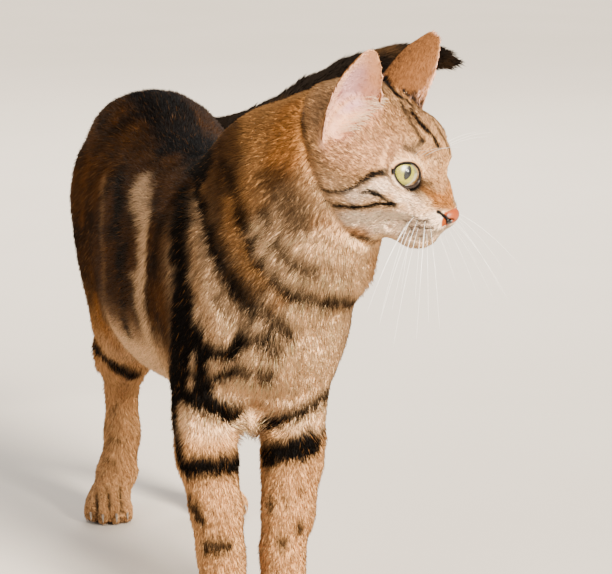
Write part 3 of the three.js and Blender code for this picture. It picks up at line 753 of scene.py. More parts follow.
whole = np.ones(len(places))
lay(body_tones, mirror, "tone", 1, (1 - face - share["neck"]).clip(0, 1))
lay(neck_tones, mirror, "tone", 1, 1 - step(8, 22, hy) * face)
wide_face = spread(face[:, None], edges, 60)[:, 0]
wide_face = step(0.15, 0.95, wide_face) * (face + share["neck"]).clip(0, 1)
for tone, amount in (
        (GREY_TAN * 1.4 + 0.02, 0.85 * wide_face),
        (CREAM, 0.6 * wide_face * step(-4, -18, hz)),
        (WHITE, 0.85 * wide_face * step(10, 20, hy) * step(-14, -22, hz)),
        (CREAM, 0.8 * wide_face * step(-30, -42, hz))):
    ground = mixed_in(ground, tone, amount.clip(0, 1))

ear_out = np.zeros(len(places))
pink = np.zeros(len(places))
ear_rim = np.zeros(len(places))
EAR_FRONT = {-1: (-16.5, -18, 41), 1: (21.5, -9, 40)}
EAR_REAR = {-1: (-40, -38, 4), 1: (36.5, -46, 7)}
EAR_TIP = (43.5, -31, 71)
for side in (-1, 1):
    front = np.array(EAR_FRONT[side], dtype=float)
    rear = np.array(EAR_REAR[side], dtype=float)
    tip = np.array([side * EAR_TIP[0], EAR_TIP[1], EAR_TIP[2]])
    foot = (front + rear) / 2
    back = np.cross(rear - front, tip - foot) * side
    back /= np.linalg.norm(back)
    mine = share["ear"] * (hx * side > 0)
    facing = (normals @ AXES.T) @ back
    pink = np.maximum(pink, mine * step(0.15, -0.2, facing))
    ear_out = np.maximum(ear_out, mine * step(0.1, 0.4, facing))
    ear_rim = np.maximum(ear_rim, mine * np.exp(-((facing - 0.12) / 0.22) ** 2))
    bowl = line_distance(local, EAR_BOWL, side)
    pink = np.maximum(pink, face * (1 - step(6.0, 10.5, bowl)) * (hx * side > 0))
ground = mixed_in(ground, EAR_BACK, ear_out * 0.9)
ground = mixed_in(ground, EAR_PINK, pink)
ground = mixed_in(ground, EAR_HEM, ear_rim * 0.85)
lay(ear_tones, head_mirror, "tone", 0.3, np.maximum(pink, share["ear"]))
lay(face_tones, head_mirror, "tone", 1, (face + share["ear"] + 0.5 * share["neck"]).clip(0, 1))
lay(body_marks, mirror, "dark", 1.0, whole)
lay(leg_marks, mirror, "dark", 0.7, whole)
lay(face_marks, head_mirror, "dark", 0.3, whole)
lay(back_marks, mirror, "dark", 1.0, share["neck"])
lay([(1.15, 1.0, [root, root]) for root in WHISKER_ROOTS], head_mirror, "dark", 0.1, face)

# The dark line of the back, spots of the far side, rings of the legs, the tail, lips, and painted shade in
# the grooves between the toes.
spine = (1 - step(12, 20, np.abs(side_x + 5 * wobble))) * step(0.1, 0.7, normals[:, 2]) * step(-130, -90, y)
spots = step(0.30, 0.42, rough(places, 75, 9))
rings = step(0.45, 0.75, np.sin((z + 7 * wobble) * 2 * math.pi / RING_STEP))
legs = share["foreleg"] + share["hindleg"]
dark = np.maximum.reduce([
    dark,
    spine * upper * 0.95,
    spots * hidden * upper * step(175, 150, z) * 0.85,
    rings * hidden * legs * 0.9 * step(-0.5, 0.3, np.sign(side_x) * normals[:, 0]),
    share["tail"] * (0.995 - 0.06 * step(0.1, 0.5, rough(places, 45, 12))),
    face * (1 - step(0.3, 0.9, either_side(local, MOUTH))) * 0.8,
    face * (1 - step(0.3, 0.8, line_distance(local, PHILTRUM))) * 0.6,
    # Painted shade: the grooves between the toes are darkened.
    toe_grooves_and_shade * 0.9]) * (1 - pink)

colour = ground * (1 - dark[:, None]) + DARK * dark[:, None]
for side in (-1, 1):
    centre, *axes = eye_frame(side)
    out = local - centre
    far = np.linalg.norm(out, axis=1).clip(0.01)
    d, u, v, outside = around_eye(axes, out, far)
    close = (far < 22) * face
    inner_low = step(-2, 8, u) * step(5, -3, v)
    rim = close * (1 - step(0.05 + 1.8 * inner_low, 0.5 + 2.8 * inner_low, outside)) * (far < 20)
    pale_ring = close * step(0.9, 1.6, outside) * (1 - step(2.4, 4.6, outside)) * (1 - 0.7 * inner_low)
    colour = mixed_in(colour, CREAM * 1.05, 0.65 * pale_ring)
    colour = mixed_in(colour, DARK, rim)
NOSTRIL = [(laid([(438, 212), (441.5, 214), (445, 217), (448, 220)], 1.0), 0.0),
           (laid([(448, 220), (448.7, 222)], 1.0), 0.8)]


def nostril_gap(spots, flipped):
    """How far in mm each spot lies from the slit, or from its wider end."""
    return np.minimum.reduce([chain_distance(run, near) - wide
                              for run, wide in NOSTRIL for near in (spots, flipped)])


nostril = 1 - step(0.9, 1.6, nostril_gap(places, head_mirror))
wing = laid([(446.5, 215), (446.5, 219), (447.5, 223.5)], 1.0)
leather_skin = face * (1 - step(3.6, 4.6, either_side(local, LEATHER)))
wing_gap = np.minimum(chain_distance(wing, places), chain_distance(wing, head_mirror))
leather_skin = np.maximum(leather_skin, face * (1 - step(1.6, 2.3, wing_gap)))
colour = mixed_in(colour, NOSE_TONE, leather_skin)
# Painted shade: the nostril openings are painted near black, as the shade inside them.
colour = mixed_in(colour, DARK * 0.5, nostril)
pads = in_foot * step(-0.6, -0.9, normals[:, 2]) * step(5, 2, z)
colour = mixed_in(colour, PAD_TONE, pads.clip(0, 1))
colour = np.clip(colour, 0, 1)


def paint(mesh, name, values):
    layer = mesh.color_attributes.new(name=name, type="FLOAT_COLOR", domain="POINT")
    layer.data.foreach_set("color", np.c_[values, np.ones(len(values))].astype(np.float32).ravel())


paint(skin.data, "coat", colour)


def painted(name, layer, roughness, specular, texture, settings, low, high, bump):
    """A material that shows a painted layer, shaded and raised by a fine texture."""
    item, tree, shader = material(name, roughness, specular)
    tone = node(tree, "ShaderNodeVertexColor", layer_name=layer).outputs["Color"]
    place = node(tree, "ShaderNodeTexCoord").outputs["Object"]
    grain = node(tree, texture, Vector=place, **settings).outputs[0]
    shading = ramp(tree, grain, (0, low), (1, high))
    tree.links.new(multiplied(tree, tone, shading), shader.inputs["Base Color"])
    if bump:
        raised = node(tree, "ShaderNodeBump", Height=grain, **bump)
        tree.links.new(raised.outputs["Normal"], shader.inputs["Normal"])
    return item


def multiplied(tree, first, second):
    item = node(tree, "ShaderNodeMix", data_type="RGBA", blend_type="MULTIPLY")
    item.inputs[0].default_value = 1.0
    tree.links.new(first, item.inputs[6])
    tree.links.new(second, item.inputs[7])
    return item.outputs[2]


skin_look = painted("skin_and_undercoat", "coat", 0.7, 0.08, "ShaderNodeTexNoise",
                    {"Scale": 900.0, "Detail": 3.0}, (0.74, 0.74, 0.74), (1, 1, 1),
                    {"Strength": 0.25, "Distance": 0.0006})
skin.data.materials.append(skin_look)
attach(skin, "root")
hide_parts(*flesh_nodes)

# ---------------------------------------------------------------- coat
# Short, close hair in small pointed tufts that overlap from nose to tail and
# lie back along the body. Each is a thin closed spike rooted in the skin.

# Length and width in mm, lift in degrees, and tufts to a square mm:
HAIR = {
    "head": (4.6, 0.50, 15, 1.9), "ear": (2.4, 0.36, 9, 1.6), "neck": (6.6, 0.54, 14, 1.95),
    "trunk": (8.8, 0.72, 14, 1.0), "shoulder": (7.2, 0.66, 13, 1.15), "thigh": (8.2, 0.72, 14, 1.0),
    "foreleg": (6.0, 0.62, 14, 1.25), "hindleg": (6.0, 0.62, 14, 1.1), "forefoot": (3.4, 0.5, 14, 1.7),
    "hindfoot": (3.4, 0.5, 14, 1.5), "tail": (9.5, 0.75, 16, 1.1),
}
LIE = {
    "ear": (0, 0, 1.0), "neck": (-0.15, 0.75, -0.65), "trunk": (0, 1.0, -0.38), "shoulder": (0, 0.5, -0.9),
    "thigh": (0, 0.6, -0.85), "foreleg": (0, 0.1, -1), "hindleg": (0, 0.1, -1), "forefoot": (0, -0.8, -0.6),
    "hindfoot": (0, -0.8, -0.6),
}
TAIL_LINE = np.array([(-89, 180, 276), (-76, 206, 268), (-50, 223, 257), (-16, 223, 255), (14, 211, 266),
                      (42, 199, 285), (70, 189, 301), (100, 183, 310), (125, 181, 312), (143, 181, 309)]) * MM
NOSE_LOCAL = np.array([0, 40, -12.0])
EAR_ROOT = (30.0, -28, 20)
LOIN_START = 0.02
MOST_TUFTS = 49500
ROOT_DEPTH = 0.35 * MM
TICKED = ("coat_neck", "coat_skull", "coat_face", "coat_shoulders")
TUFT_LOWEST = 0.0002
PATCH = 0.003

flow = np.zeros_like(places)
for name, direction in LIE.items():
    flow += share[name][:, None] * np.array(direction) / np.linalg.norm(direction)
from_nose = local - NOSE_LOCAL
from_nose[:, 2] += 0.15 * np.abs(from_nose[:, 0])
from_nose /= np.linalg.norm(from_nose, axis=1)[:, None].clip(1e-6)
flow += (share["head"][:, None] * from_nose) @ AXES
tail_middles = (TAIL_LINE[:-1] + TAIL_LINE[1:]) / 2
nearest = np.argmin(np.linalg.norm(places[:, None, :] - tail_middles[None], axis=2), axis=1)
run = np.diff(TAIL_LINE, axis=0)
run /= np.linalg.norm(run, axis=1)[:, None]
flow += share["tail"][:, None] * run[nearest]
for side in (-1, 1):
    mine = (share["ear"] * (hx * side > 0))[:, None]
    flip = np.array([side, 1, 1])
    rise = from_head(flip * EAR_TIP) - from_head(flip * EAR_ROOT)
    flow += mine * (rise / np.linalg.norm(rise) - np.array([0, 0, 1.0]))
normals = read(skin.data, "vertices", "normal").astype(np.float64)
flow -= normals * np.sum(flow * normals, axis=1)[:, None]
flow /= np.linalg.norm(flow, axis=1)[:, None].clip(1e-6)

blended = spread(weights, edges, 50)
length, width, lift, density = (by_group(blended, {part: hair[i] for part, hair in HAIR.items()}, 1)
                                for i in range(4))
face_front = share["head"] * step(-26, 2, hy)
length = length * (1 - face_front) + 3.0 * face_front
width = width * (1 - face_front) + 0.40 * face_front
density = density * (1 - face_front) + 2.6 * face_front
ruff = share["neck"] + share["trunk"] * step(-100, -150, y)
length = length * (1 + 0.35 * step(0.2, 0.7, -normals[:, 1]) * ruff)
length = length * (1 - pink) + 2.2 * pink
width = width * (1 - pink) + 0.26 * pink
density *= 1 - 0.75 * pink
density *= (1 - pads) * (1 - leather_skin) * (1 - nostril)
for side in (-1, 1):
    density *= np.linalg.norm(local - eye_frame(side)[0], axis=1) >= BALL + 1.15

# The colour that a tuft's tip reaches over, so that a band lies where it is painted.
tree_of_places = KDTree(len(places))
for i, p in enumerate(places):
    tree_of_places.insert(p, i)
tree_of_places.balance()
reach_over = places + flow * (length * 0.75 * MM)[:, None]
colour_ahead = colour[[tree_of_places.find(p)[1] for p in reach_over]]

corners = read(skin.data, "polygons", "vertices", 3)
spots = places[corners]
area = np.linalg.norm(np.cross(spots[:, 1] - spots[:, 0], spots[:, 2] - spots[:, 0]), axis=1) / 2 / MM / MM
centre_spot = spots.mean(1)
face_weights = weights[corners].mean(1)
main = np.array(GROUPS)[face_weights.argmax(1)]
face_local = to_head(centre_spot)
right = centre_spot[:, 0] < MID_X
fore = centre_spot[:, 1] < LOIN_START
region = np.full(len(corners), "", dtype=object)
for name, where in (
        ("coat_skull", np.isin(main, ["head", "ear"])),
        ("coat_face", (main == "head") & (face_local[:, 1] > -14)),
        ("coat_neck", main == "neck"),
        ("coat_flank_right", (main == "trunk") & right & fore),
        ("coat_flank_left", (main == "trunk") & ~right & fore),
        ("coat_loin", (main == "trunk") & ~fore),
        ("coat_shoulders", main == "shoulder"),
        ("coat_thighs", main == "thigh"),
        ("coat_forelegs", np.isin(main, ["foreleg", "forefoot"])),
        ("coat_hindlegs", np.isin(main, ["hindleg", "hindfoot"])),
        ("coat_tail", main == "tail")):
    region[where] = name

coat_look = painted("coat_hair", "coat", 0.65, 0.05, "ShaderNodeTexNoise",
                    {"Scale": 1400.0, "Detail": 2.0}, (0.86, 0.86, 0.86), (1, 1, 1), None)


def unwrapped(faces):
    """Corner places of these skin faces on a flat unwrap of their own shape."""
    used, index = np.unique(corners[faces], return_inverse=True)
    mesh = bpy.data.meshes.new("unwrap")
    mesh.from_pydata(places[used].tolist(), [], index.reshape(-1, 3).tolist())
    item = added("unwrap", mesh)
    mesh.uv_layers.new(name="flat")
    for other in bpy.context.selected_objects:
        other.select_set(False)
    bpy.context.view_layer.objects.active = item
    item.select_set(True)
    bpy.ops.object.mode_set(mode="EDIT")
    bpy.ops.mesh.select_all(action="SELECT")
    bpy.ops.uv.smart_project(angle_limit=math.radians(70), island_margin=0.004)
    bpy.ops.object.mode_set(mode="OBJECT")
    flat = np.empty(len(mesh.loops) * 2, dtype=np.float32)
    item.data.uv_layers["flat"].data.foreach_get("uv", flat)
    bpy.data.objects.remove(item)
    bpy.data.meshes.remove(mesh)
    return flat.reshape(-1, 3, 2)


def grow(name, faces, seed):
    """The tufts of one part of the coat, as one mesh."""
    dice = np.random.default_rng(seed)
    want = area[faces] * density[corners[faces]].mean(1)
    count = int(min(want.sum(), MOST_TUFTS))
    picked = dice.choice(len(faces), size=count, p=want / want.sum())
    a, b = dice.random(count), dice.random(count)
    flip = a + b > 1
    a[flip], b[flip] = 1 - a[flip], 1 - b[flip]
    share3 = np.stack([1 - a - b, a, b], 1)[:, :, None]
    own = corners[faces[picked]]

    def here(values):
        values = values if values.ndim > 1 else values[:, None]
        return (values[own] * share3).sum(1)

    root, upward, along = here(places), here(normals), here(flow)
    upward /= np.linalg.norm(upward, axis=1)[:, None]
    sideways = np.cross(upward, along)
    turn = dice.normal(0, 0.2, count)[:, None]
    along = along * np.cos(turn) + sideways * np.sin(turn)
    along -= upward * np.sum(along * upward, axis=1)[:, None]
    along /= np.linalg.norm(along, axis=1)[:, None].clip(1e-6)
    sideways = np.cross(upward, along)
    rise = np.radians(here(lift) * dice.uniform(0.6, 1.35, count)[:, None])
    reach = here(length) * dice.uniform(0.7, 1.2, count)[:, None] * MM
    half = here(width) * dice.uniform(0.75, 1.2, count)[:, None] * MM / 2
    tip = root + (along * np.cos(rise) + upward * np.sin(rise)) * reach
    low = root - upward * ROOT_DEPTH
    tip[:, 2] = np.maximum(tip[:, 2], TUFT_LOWEST)
    low[:, 2] = np.maximum(low[:, 2], TUFT_LOWEST)
    top = low + upward * (half + ROOT_DEPTH)
    points = np.stack([low + sideways * half, low - sideways * half, top, tip], 1)
    order = np.array([[0, 1, 2], [0, 2, 3], [2, 1, 3], [1, 0, 3]])
    indices = (np.arange(count)[:, None, None] * 4 + order).reshape(-1)
    mesh = bpy.data.meshes.new(name)
    mesh.vertices.add(count * 4)
    mesh.loops.add(count * 12)
    mesh.polygons.add(count * 4)
    mesh.vertices.foreach_set("co", points.astype(np.float32).ravel())
    mesh.loops.foreach_set("vertex_index", indices.astype(np.int32))
    mesh.polygons.foreach_set("loop_start", np.arange(0, count * 12, 3, dtype=np.int32))
    mesh.update(calc_edges=True)

    # Hairs differ in tone: some in light fur are dark tipped, and a few in dark fur are tawny.
    tone, tip_tone = here(colour), here(colour_ahead)
    lightness = tone.sum(1)[:, None]
    ticking = (1 + dice.normal(0, 1, count)[:, None] * np.where(lightness > 1.15, 0.13, 0.27)).clip(0.4, 1.6)
    flecks = dice.random(count)[:, None] if name != "coat_tail" else np.full((count, 1), 0.5)
    agouti = 0.17 if name in TICKED else 0.05
    dusk = np.where((flecks < agouti) & (lightness > 0.3), 0.45, 1.0) * ticking
    glint = (flecks > 0.955) & (lightness < 0.12)
    tone = np.where(glint, OCHRE * 0.45, tone) * dusk
    tip_tone = np.where(glint, TAN * 0.28, tip_tone) * dusk
    shades = np.stack([tone * 0.84, tone * 0.84, tone * 0.3 + tip_tone * 0.62, tip_tone * 1.12], 1)
    paint(mesh, "coat", np.clip(shades.reshape(-1, 3), 0, 1))

    flat = unwrapped(faces)
    at = (flat[picked] * share3).sum(1)
    corner = np.array([[0, 0], [1, 0], [0.5, 0.4], [0.5, 1.0]]) * PATCH - PATCH / 2
    layer = mesh.uv_layers.new(name="OFBake")
    uv = (at[:, None, :] + corner[None]).reshape(-1, 2)[indices]
    layer.data.foreach_set("uv", np.clip(uv, 0, 1).astype(np.float32).ravel())
    mesh.materials.append(coat_look)
    item = added(name, mesh)
    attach(item, "root")
    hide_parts(*sorted({n for g in set(main[faces]) for n in PARTS[g] if n in flesh_nodes}))


for seed, name in enumerate(sorted(set(region))):
    grow(name, np.flatnonzero(region == name), 40 + seed)

# ---------------------------------------------------------------- eyes
# Clear green-gold eyes with an upright slit pupil. The ball carries a sunken
# iris, a clear dome stands over it, and a dark wet rim runs round each lid.
IRIS = 8.4
PUPIL = (2.7, 5.3)
GAZE = (-1.7, 1.0)
SUNK = 1.7
BULGE = 0.7
BALL_INSET = 0.35
RIM_LIFT = 0.45
FIBRE_TURN = 3.0
FIBRE_RUN = 0.25


def into_head(local_frame, points):
    centre, inward, up, look = local_frame
    return from_head(centre + points @ np.array([inward, up, look]))


def maths(kind, *values):
    """A sum or function in the material being made."""
    item = node(tree, "ShaderNodeMath", operation=kind)
    for socket, value in zip(item.inputs, values):
        if isinstance(value, bpy.types.NodeSocket):
            tree.links.new(value, socket)
        else:
            socket.default_value = value
    return item.outputs[0]


# The gaze attribute holds each spot's place across and up from the pupil, in mm.
eye_look, tree, shader = material("iris_and_white", 0.25, 0.5)
gaze = node(tree, "ShaderNodeAttribute", attribute_name="gaze").outputs["Vector"]
across, rise, _ = node(tree, "ShaderNodeSeparateXYZ", Vector=gaze).outputs
radius = maths("SQRT", maths("ADD", maths("MULTIPLY", across, across), maths("MULTIPLY", rise, rise)))
angle = maths("ARCTAN2", rise, across)
fibre_x = maths("MULTIPLY", maths("COSINE", angle), FIBRE_TURN)
fibre_y = maths("MULTIPLY", maths("SINE", angle), FIBRE_TURN)
fibre_z = maths("MULTIPLY", radius, FIBRE_RUN)
fibre_place = node(tree, "ShaderNodeCombineXYZ", X=fibre_x, Y=fibre_y, Z=fibre_z).outputs[0]
fibres = node(tree, "ShaderNodeTexNoise", Vector=fibre_place, Scale=4.0, Detail=5.0).outputs["Fac"]
rings = ramp(tree, maths("DIVIDE", radius, IRIS), (0.0, (0.26, 0.18, 0.013)), (0.38, (0.24, 0.24, 0.022)),
             (0.72, (0.33, 0.29, 0.028)), (0.9, (0.14, 0.14, 0.016)), (1.0, (0.02, 0.015, 0.01)))
streaks = ramp(tree, fibres, (0.3, (0.6, 0.6, 0.5)), (0.7, (1.25, 1.2, 1.1)))
slit = maths("ADD", maths("POWER", maths("ABSOLUTE", maths("DIVIDE", across, PUPIL[0])), 1.5),
             maths("POWER", maths("ABSOLUTE", maths("DIVIDE", rise, PUPIL[1])), 2.0))
eye_tone = node(tree, "ShaderNodeMix", data_type="RGBA")
eye_tone.inputs[6].default_value = (0.004, 0.004, 0.004, 1)
pupil = ramp(tree, maths("MULTIPLY", slit, 0.5), (0.42, (0, 0, 0)), (0.52, (1, 1, 1)))
tree.links.new(pupil, eye_tone.inputs[0])
tree.links.new(multiplied(tree, rings, streaks), eye_tone.inputs[7])
tree.links.new(eye_tone.outputs[2], shader.inputs["Base Color"])

dome_look = bpy.data.materials.new("cornea")
dome_look.use_nodes = True
tree = dome_look.node_tree
tree.nodes.remove(tree.nodes["Principled BSDF"])
clear = node(tree, "ShaderNodeBsdfTransparent").outputs[0]
gloss = node(tree, "ShaderNodeBsdfGlossy", Roughness=0.03).outputs[0]
edge = node(tree, "ShaderNodeFresnel", IOR=1.38).outputs[0]
both = node(tree, "ShaderNodeMixShader", Fac=maths("MULTIPLY", edge, 0.6))
tree.links.new(clear, both.inputs[1])
tree.links.new(gloss, both.inputs[2])
tree.links.new(both.outputs[0], tree.nodes["Material Output"].inputs["Surface"])

rim_look = grained("lid_rim", 0.4, 0.25, 1500.0, 3.0, (0.006, 0.004, 0.003), (0.03, 0.018, 0.013))


def tube(bm, line, radii, sides, closed=False):
    """A round tube along a line: a ring of corners at each point, with quads between the rings."""
    line = np.asarray(line)
    first = None
    ring = None
    reference = Vector((0.31, 0.11, 0.94))
    for k in range(len(line)):
        ahead = line[(k + 1) % len(line)] if closed or k + 1 < len(line) else line[k]
        behind = line[k - 1] if closed or k > 0 else line[k]
        run = Vector(ahead - behind).normalized()
        side = run.cross(reference)
        side = side.normalized() if side.length > 1e-6 else run.orthogonal().normalized()
        rise = side.cross(run)
        spots = [Vector(line[k]) + (side * math.cos(t) + rise * math.sin(t)) * float(radii[k])
                 for t in (2 * math.pi * s / sides for s in range(sides))]
        verts = [bm.verts.new(p) for p in spots]
        if ring is not None:
            for s in range(sides):
                bm.faces.new((ring[s], ring[(s + 1) % sides], verts[(s + 1) % sides], verts[s]))
        first = first or verts
        ring = verts
    if closed:
        for s in range(sides):
            bm.faces.new((ring[s], ring[(s + 1) % sides], first[(s + 1) % sides], first[s]))
    else:
        bm.faces.new(list(reversed(first)))
        bm.faces.new(ring)
    bmesh.ops.recalc_face_normals(bm, faces=bm.faces)


def finish(item, look, slot, *nodes):
    item.data.materials.append(look)
    smooth_faces(item)
    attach(item, "root")
    if nodes:
        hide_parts(*nodes)


def eye_sphere(radius):
    bm = bmesh.new()
    bmesh.ops.create_uvsphere(bm, u_segments=64, v_segments=48, radius=radius)
    return bm, np.array([v.co[:] for v in bm.verts])


def set_in_head(bm, name, eye_place, spots):
    """Moves a sphere's corners to their places in the head, reversing its faces when the eye's own axes are
    mirrored.
    """
    for v, p in zip(bm.verts, into_head(eye_place, spots)):
        v.co = p
    if np.linalg.det(np.array(eye_place[1:])) < 0:
        bmesh.ops.reverse_faces(bm, faces=bm.faces)
    return from_bmesh(name, bm)


def lid_reach(turn):
    """How far the lids' edge lies from the eye's middle, in one direction."""
    low, high = 0.0, 20.0
    for _ in range(30):
        middle = (low + high) / 2
        if opening_reach(np.array(middle * math.cos(turn)), np.array(middle * math.sin(turn))) < 1:
            low = middle
        else:
            high = middle
    return low


for side, name in ((-1, "right"), (1, "left")):
    eye_place = eye_frame(side)
    bm, spots = eye_sphere(BALL - BALL_INSET)
    gaze_places = spots - np.array([*GAZE, 0])
    front = spots[:, 2] > 0
    from_pupil = np.linalg.norm(gaze_places[:, :2], axis=1)
    spots *= (1 - SUNK * (1 - (from_pupil / (IRIS + 0.3)).clip(0, 1) ** 2) * front / BALL)[:, None]
    gaze_places[~front] = (30, 30, 0)
    ball = set_in_head(bm, f"eyeball_{name}", eye_place, spots)
    layer = ball.data.attributes.new("gaze", "FLOAT_VECTOR", "POINT")
    layer.data.foreach_set("vector", gaze_places.astype(np.float32).ravel())
    finish(ball, eye_look, "eye", f"eye_{name}")

    bm, spots = eye_sphere(BALL)
    off_axis = np.linalg.norm(spots[:, :2], axis=1)
    spots[:, 2] += np.where(spots[:, 2] > 0, BULGE * (1 - step(0, IRIS + 0.8, off_axis)), 0)
    spots[spots[:, 2] < -0.1] *= 0.93
    finish(set_in_head(bm, f"cornea_{name}", eye_place, spots), dome_look, "eye")

    turns = np.linspace(0, 2 * math.pi, 72, endpoint=False)
    line = []
    for turn in turns:
        angle = lid_reach(turn) / BALL
        direction = (math.sin(angle) * math.cos(turn), math.sin(angle) * math.sin(turn), math.cos(angle))
        line.append(np.array(direction) * (BALL + RIM_LIFT))
    thick = [(0.26 + 0.5 * float(step(-0.2, 1, math.cos(turn + 0.6)))) * MM for turn in turns]
    bm = bmesh.new()
    tube(bm, into_head(eye_place, np.array(line)), thick, 8, closed=True)
    finish(from_bmesh(f"lid_rim_{name}", bm), rim_look, "eye")

# ---------------------------------------------------------------- nose
# Bare brick-pink leather: a rounded wedge with a comma-shaped nostril on each
# side and a groove down to the lip, finely pebbled.
nose = added("nose_leather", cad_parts["nose"].data.copy())
bm, _ = joined(["nose"])
bm.to_mesh(nose.data)
bm.free()
remeshed(nose, 0.35 * MM)
smoothed(nose, 12)
apply_modifiers(nose)
spots = read(nose.data).astype(np.float64)
leather = to_head(spots)
leather[:, 0] *= 1.3
out = read(nose.data, "vertices", "normal").astype(np.float64) @ AXES.T
pit = np.zeros(len(leather))
for side in (-1, 1):
    gap = np.sqrt(((leather[:, 0] - side * 4.4) / 2.0) ** 2 + ((leather[:, 2] + 19.7) / 1.5) ** 2)
    bend = leather[:, 2] + 18.9 + 0.35 * (np.abs(leather[:, 0]) - 6.6)
    slot = np.sqrt(((leather[:, 0] - side * 6.8) / 2.4) ** 2 + (bend / 0.65) ** 2)
    hollow = np.maximum(1 - step(0.5, 1.15, gap), 0.75 * (1 - step(0.5, 1.2, slot)))
    pit = np.maximum(pit, hollow * (leather[:, 1] > 34))
groove = (1 - step(0.15, 0.9, np.abs(leather[:, 0]))) * step(-18.5, -20.5, leather[:, 2])
groove = groove * (leather[:, 1] > 34)
leather -= out * (pit * 1.9 + groove * 0.5)[:, None]
nose.data.vertices.foreach_set("co", from_head(leather).astype(np.float32).ravel())
# Painted shade: the carved nostril pits are darkened almost to black and the groove a little, as shade in
# these hollows.
nose_tone = NOSE_TONE * (1 - pit[:, None] * 0.97) * (1 - 0.45 * groove[:, None])
nose_tone *= (1 - 0.6 * step(-1.2, 0.2, np.abs(leather[:, 0]) - 7.6))[:, None]
mirrored = from_head(leather * np.array([-1, 1, 1]))
# Painted shade: the nostril slits are painted black as well.
black = nostril_gap(from_head(leather), mirrored)
nose_tone = nose_tone * step(0.9, 1.6, black)[:, None]
paint(nose.data, "leather", nose_tone.clip(0, 1))
nose_look = painted("nose_leather", "leather", 0.42, 0.45, "ShaderNodeTexVoronoi", {"Scale": 2200.0},
                    (1.1, 1.1, 1.1), (0.7, 0.66, 0.66),
                    {"Strength": 0.35, "Distance": 0.0002, "invert": True})
nose.data.materials.clear()
finish(nose, nose_look, "nose_leather", "nose")

# ---------------------------------------------------------------- whiskers
# Long white whiskers from rows of dark roots on each lip, three fine ones over
# each eye, and the pale fringe that hangs over the front edge of each ear.
WHISKERS = [
    ((21.2, 22.4, -21.2), (0.90, 0.05, -0.30), 44), ((17.7, 18.4, -26.7), (0.85, 0.10, -0.55), 52),
    ((19.3, 19.7, -25.1), (0.85, 0.18, -0.42), 58), ((20.0, 24.8, -22.6), (0.80, 0.30, -0.30), 60),
    ((18.9, 28.9, -21.5), (0.72, 0.50, -0.25), 52), ((15.1, 20.3, -30.6), (0.75, 0.22, -0.65), 50),
    ((18.0, 25.7, -27.1), (0.72, 0.40, -0.55), 62), ((17.8, 29.8, -25.9), (0.66, 0.52, -0.50), 60),
    ((16.5, 32.6, -25.0), (0.55, 0.62, -0.52), 48), ((12.6, 20.2, -35.8), (0.55, 0.30, -0.80), 26),
    ((11.7, 25.8, -33.7), (0.50, 0.45, -0.75), 30), ((14.0, 30.0, -29.0), (0.58, 0.50, -0.62), 44),
]
BROW_WHISKERS = [((13, 14, 14), (0.25, 0.62, 0.75), 30), ((16, 12, 13.5), (0.45, 0.55, 0.72), 34),
                 ((19, 9.5, 13), (0.62, 0.42, 0.70), 26)]
FRONT_LIMIT = -0.2605


def hanging(root, direction, reach, sag, steps):
    """A hair's line: out along its direction, and more and more downwards."""
    start = from_head(np.array(root))
    run = np.array(direction) @ AXES
    run /= np.linalg.norm(run)
    run[1] = max(run[1], (FRONT_LIMIT - start[1]) / (reach * MM))
    t = np.linspace(0, 1, steps)[:, None]
    return start + (run * t + np.array([0, 0, -sag]) * t * t) * reach * MM


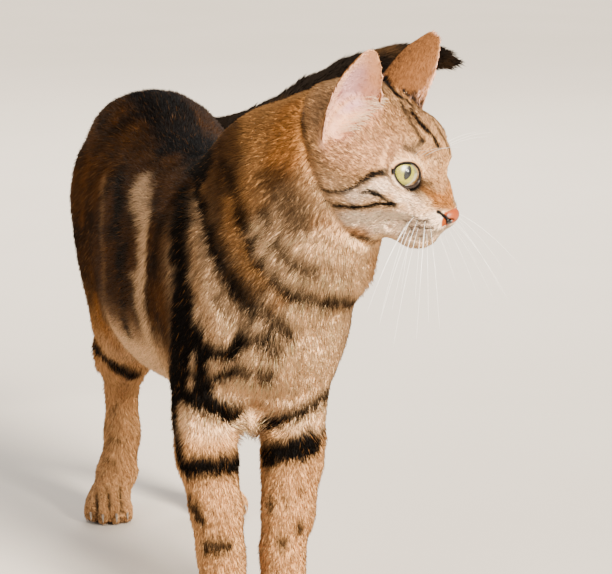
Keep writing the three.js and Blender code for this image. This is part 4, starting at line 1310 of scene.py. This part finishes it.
whisker_look = grained("whisker", 0.35, 0.4, 260.0, 3.0, (0.80, 0.76, 0.70), (0.95, 0.93, 0.90))
bm = bmesh.new()
dice = np.random.default_rng(7)
for side in (-1, 1):
    flip = np.array([side, 1, 1])
    for root, direction, reach in WHISKERS:
        root = np.array(root) * flip - np.array([side * 1.2, 0.8, 0])
        tube(bm, hanging(root, np.array(direction) * flip + dice.normal(0, 0.05, 3), reach, 0.32, 12),
             np.interp(np.linspace(0, 1, 12), (0, 0.35, 1), (0.06, 0.15, 0.05)) * MM, 6)
    for root, direction, reach in BROW_WHISKERS:
        tube(bm, hanging(np.array(root) * flip, np.array(direction) * flip, reach, 0.25, 10),
             np.linspace(0.11, 0.04, 10) * MM, 6)
finish(from_bmesh("whiskers", bm), whisker_look, "coat")

EAR_EDGE = np.array([(13.5, -20.5, 38.0), (17.5, -20.0, 34.5), (22.5, -21.5, 29.5), (28.0, -23.0, 23.5),
                     (32.5, -25.0, 17.5)])
FRINGE_HAIRS = 110
fringe_look = grained("ear_fringe", 0.6, 0.4, 260.0, 3.0, (0.50, 0.34, 0.20), (0.80, 0.60, 0.42))
bm = bmesh.new()
for side in (-1, 1):
    flip = np.array([side, 1, 1])
    for _ in range(FRINGE_HAIRS):
        along = dice.uniform(0, len(EAR_EDGE) - 1.001)
        low = EAR_EDGE[int(along)]
        root = low + (EAR_EDGE[int(along) + 1] - low) * (along % 1) + dice.normal(0, 1.0, 3)
        direction = np.array([0.70, -0.62, 0.28]) + dice.normal(0, 0.16, 3)
        tube(bm, hanging(root * flip, direction * flip, dice.uniform(8, 17), 0.35, 6),
             np.linspace(0.11, 0.03, 6) * MM, 4)
finish(from_bmesh("ear_fringe", bm), fringe_look, "coat")

# ---------------------------------------------------------------- claws
# Small hooked claws, mostly drawn in, one at the tip of each toe.
claw_look = grained("claw_horn", 0.3, 0.4, 260.0, 3.0, (0.10, 0.075, 0.055), (0.34, 0.27, 0.20))
for name, (at_x, at_y, turn, wide) in PAWS.items():
    c, s = math.cos(math.radians(turn)), math.sin(math.radians(turn))
    bm = bmesh.new()
    for across, ahead in ((-0.36, 17.5), (-0.135, 24.0), (0.135, 24.0), (0.36, 17.5)):
        line = []
        for forward, high in ((-4.5, 8.0), (-2.2, 8.2), (-0.3, 7.0), (0.8, 5.0), (0.9, 3.2)):
            px, py = across * wide, ahead + forward
            line.append(((at_x + px * c + py * s) * MM, (at_y + px * s - py * c) * MM, high * MM))
        tube(bm, np.array(line), np.array([0.9, 1.0, 0.8, 0.5, 0.12]) * MM, 8)
    finish(from_bmesh(f"claws_{name}", bm), claw_look, "coat")
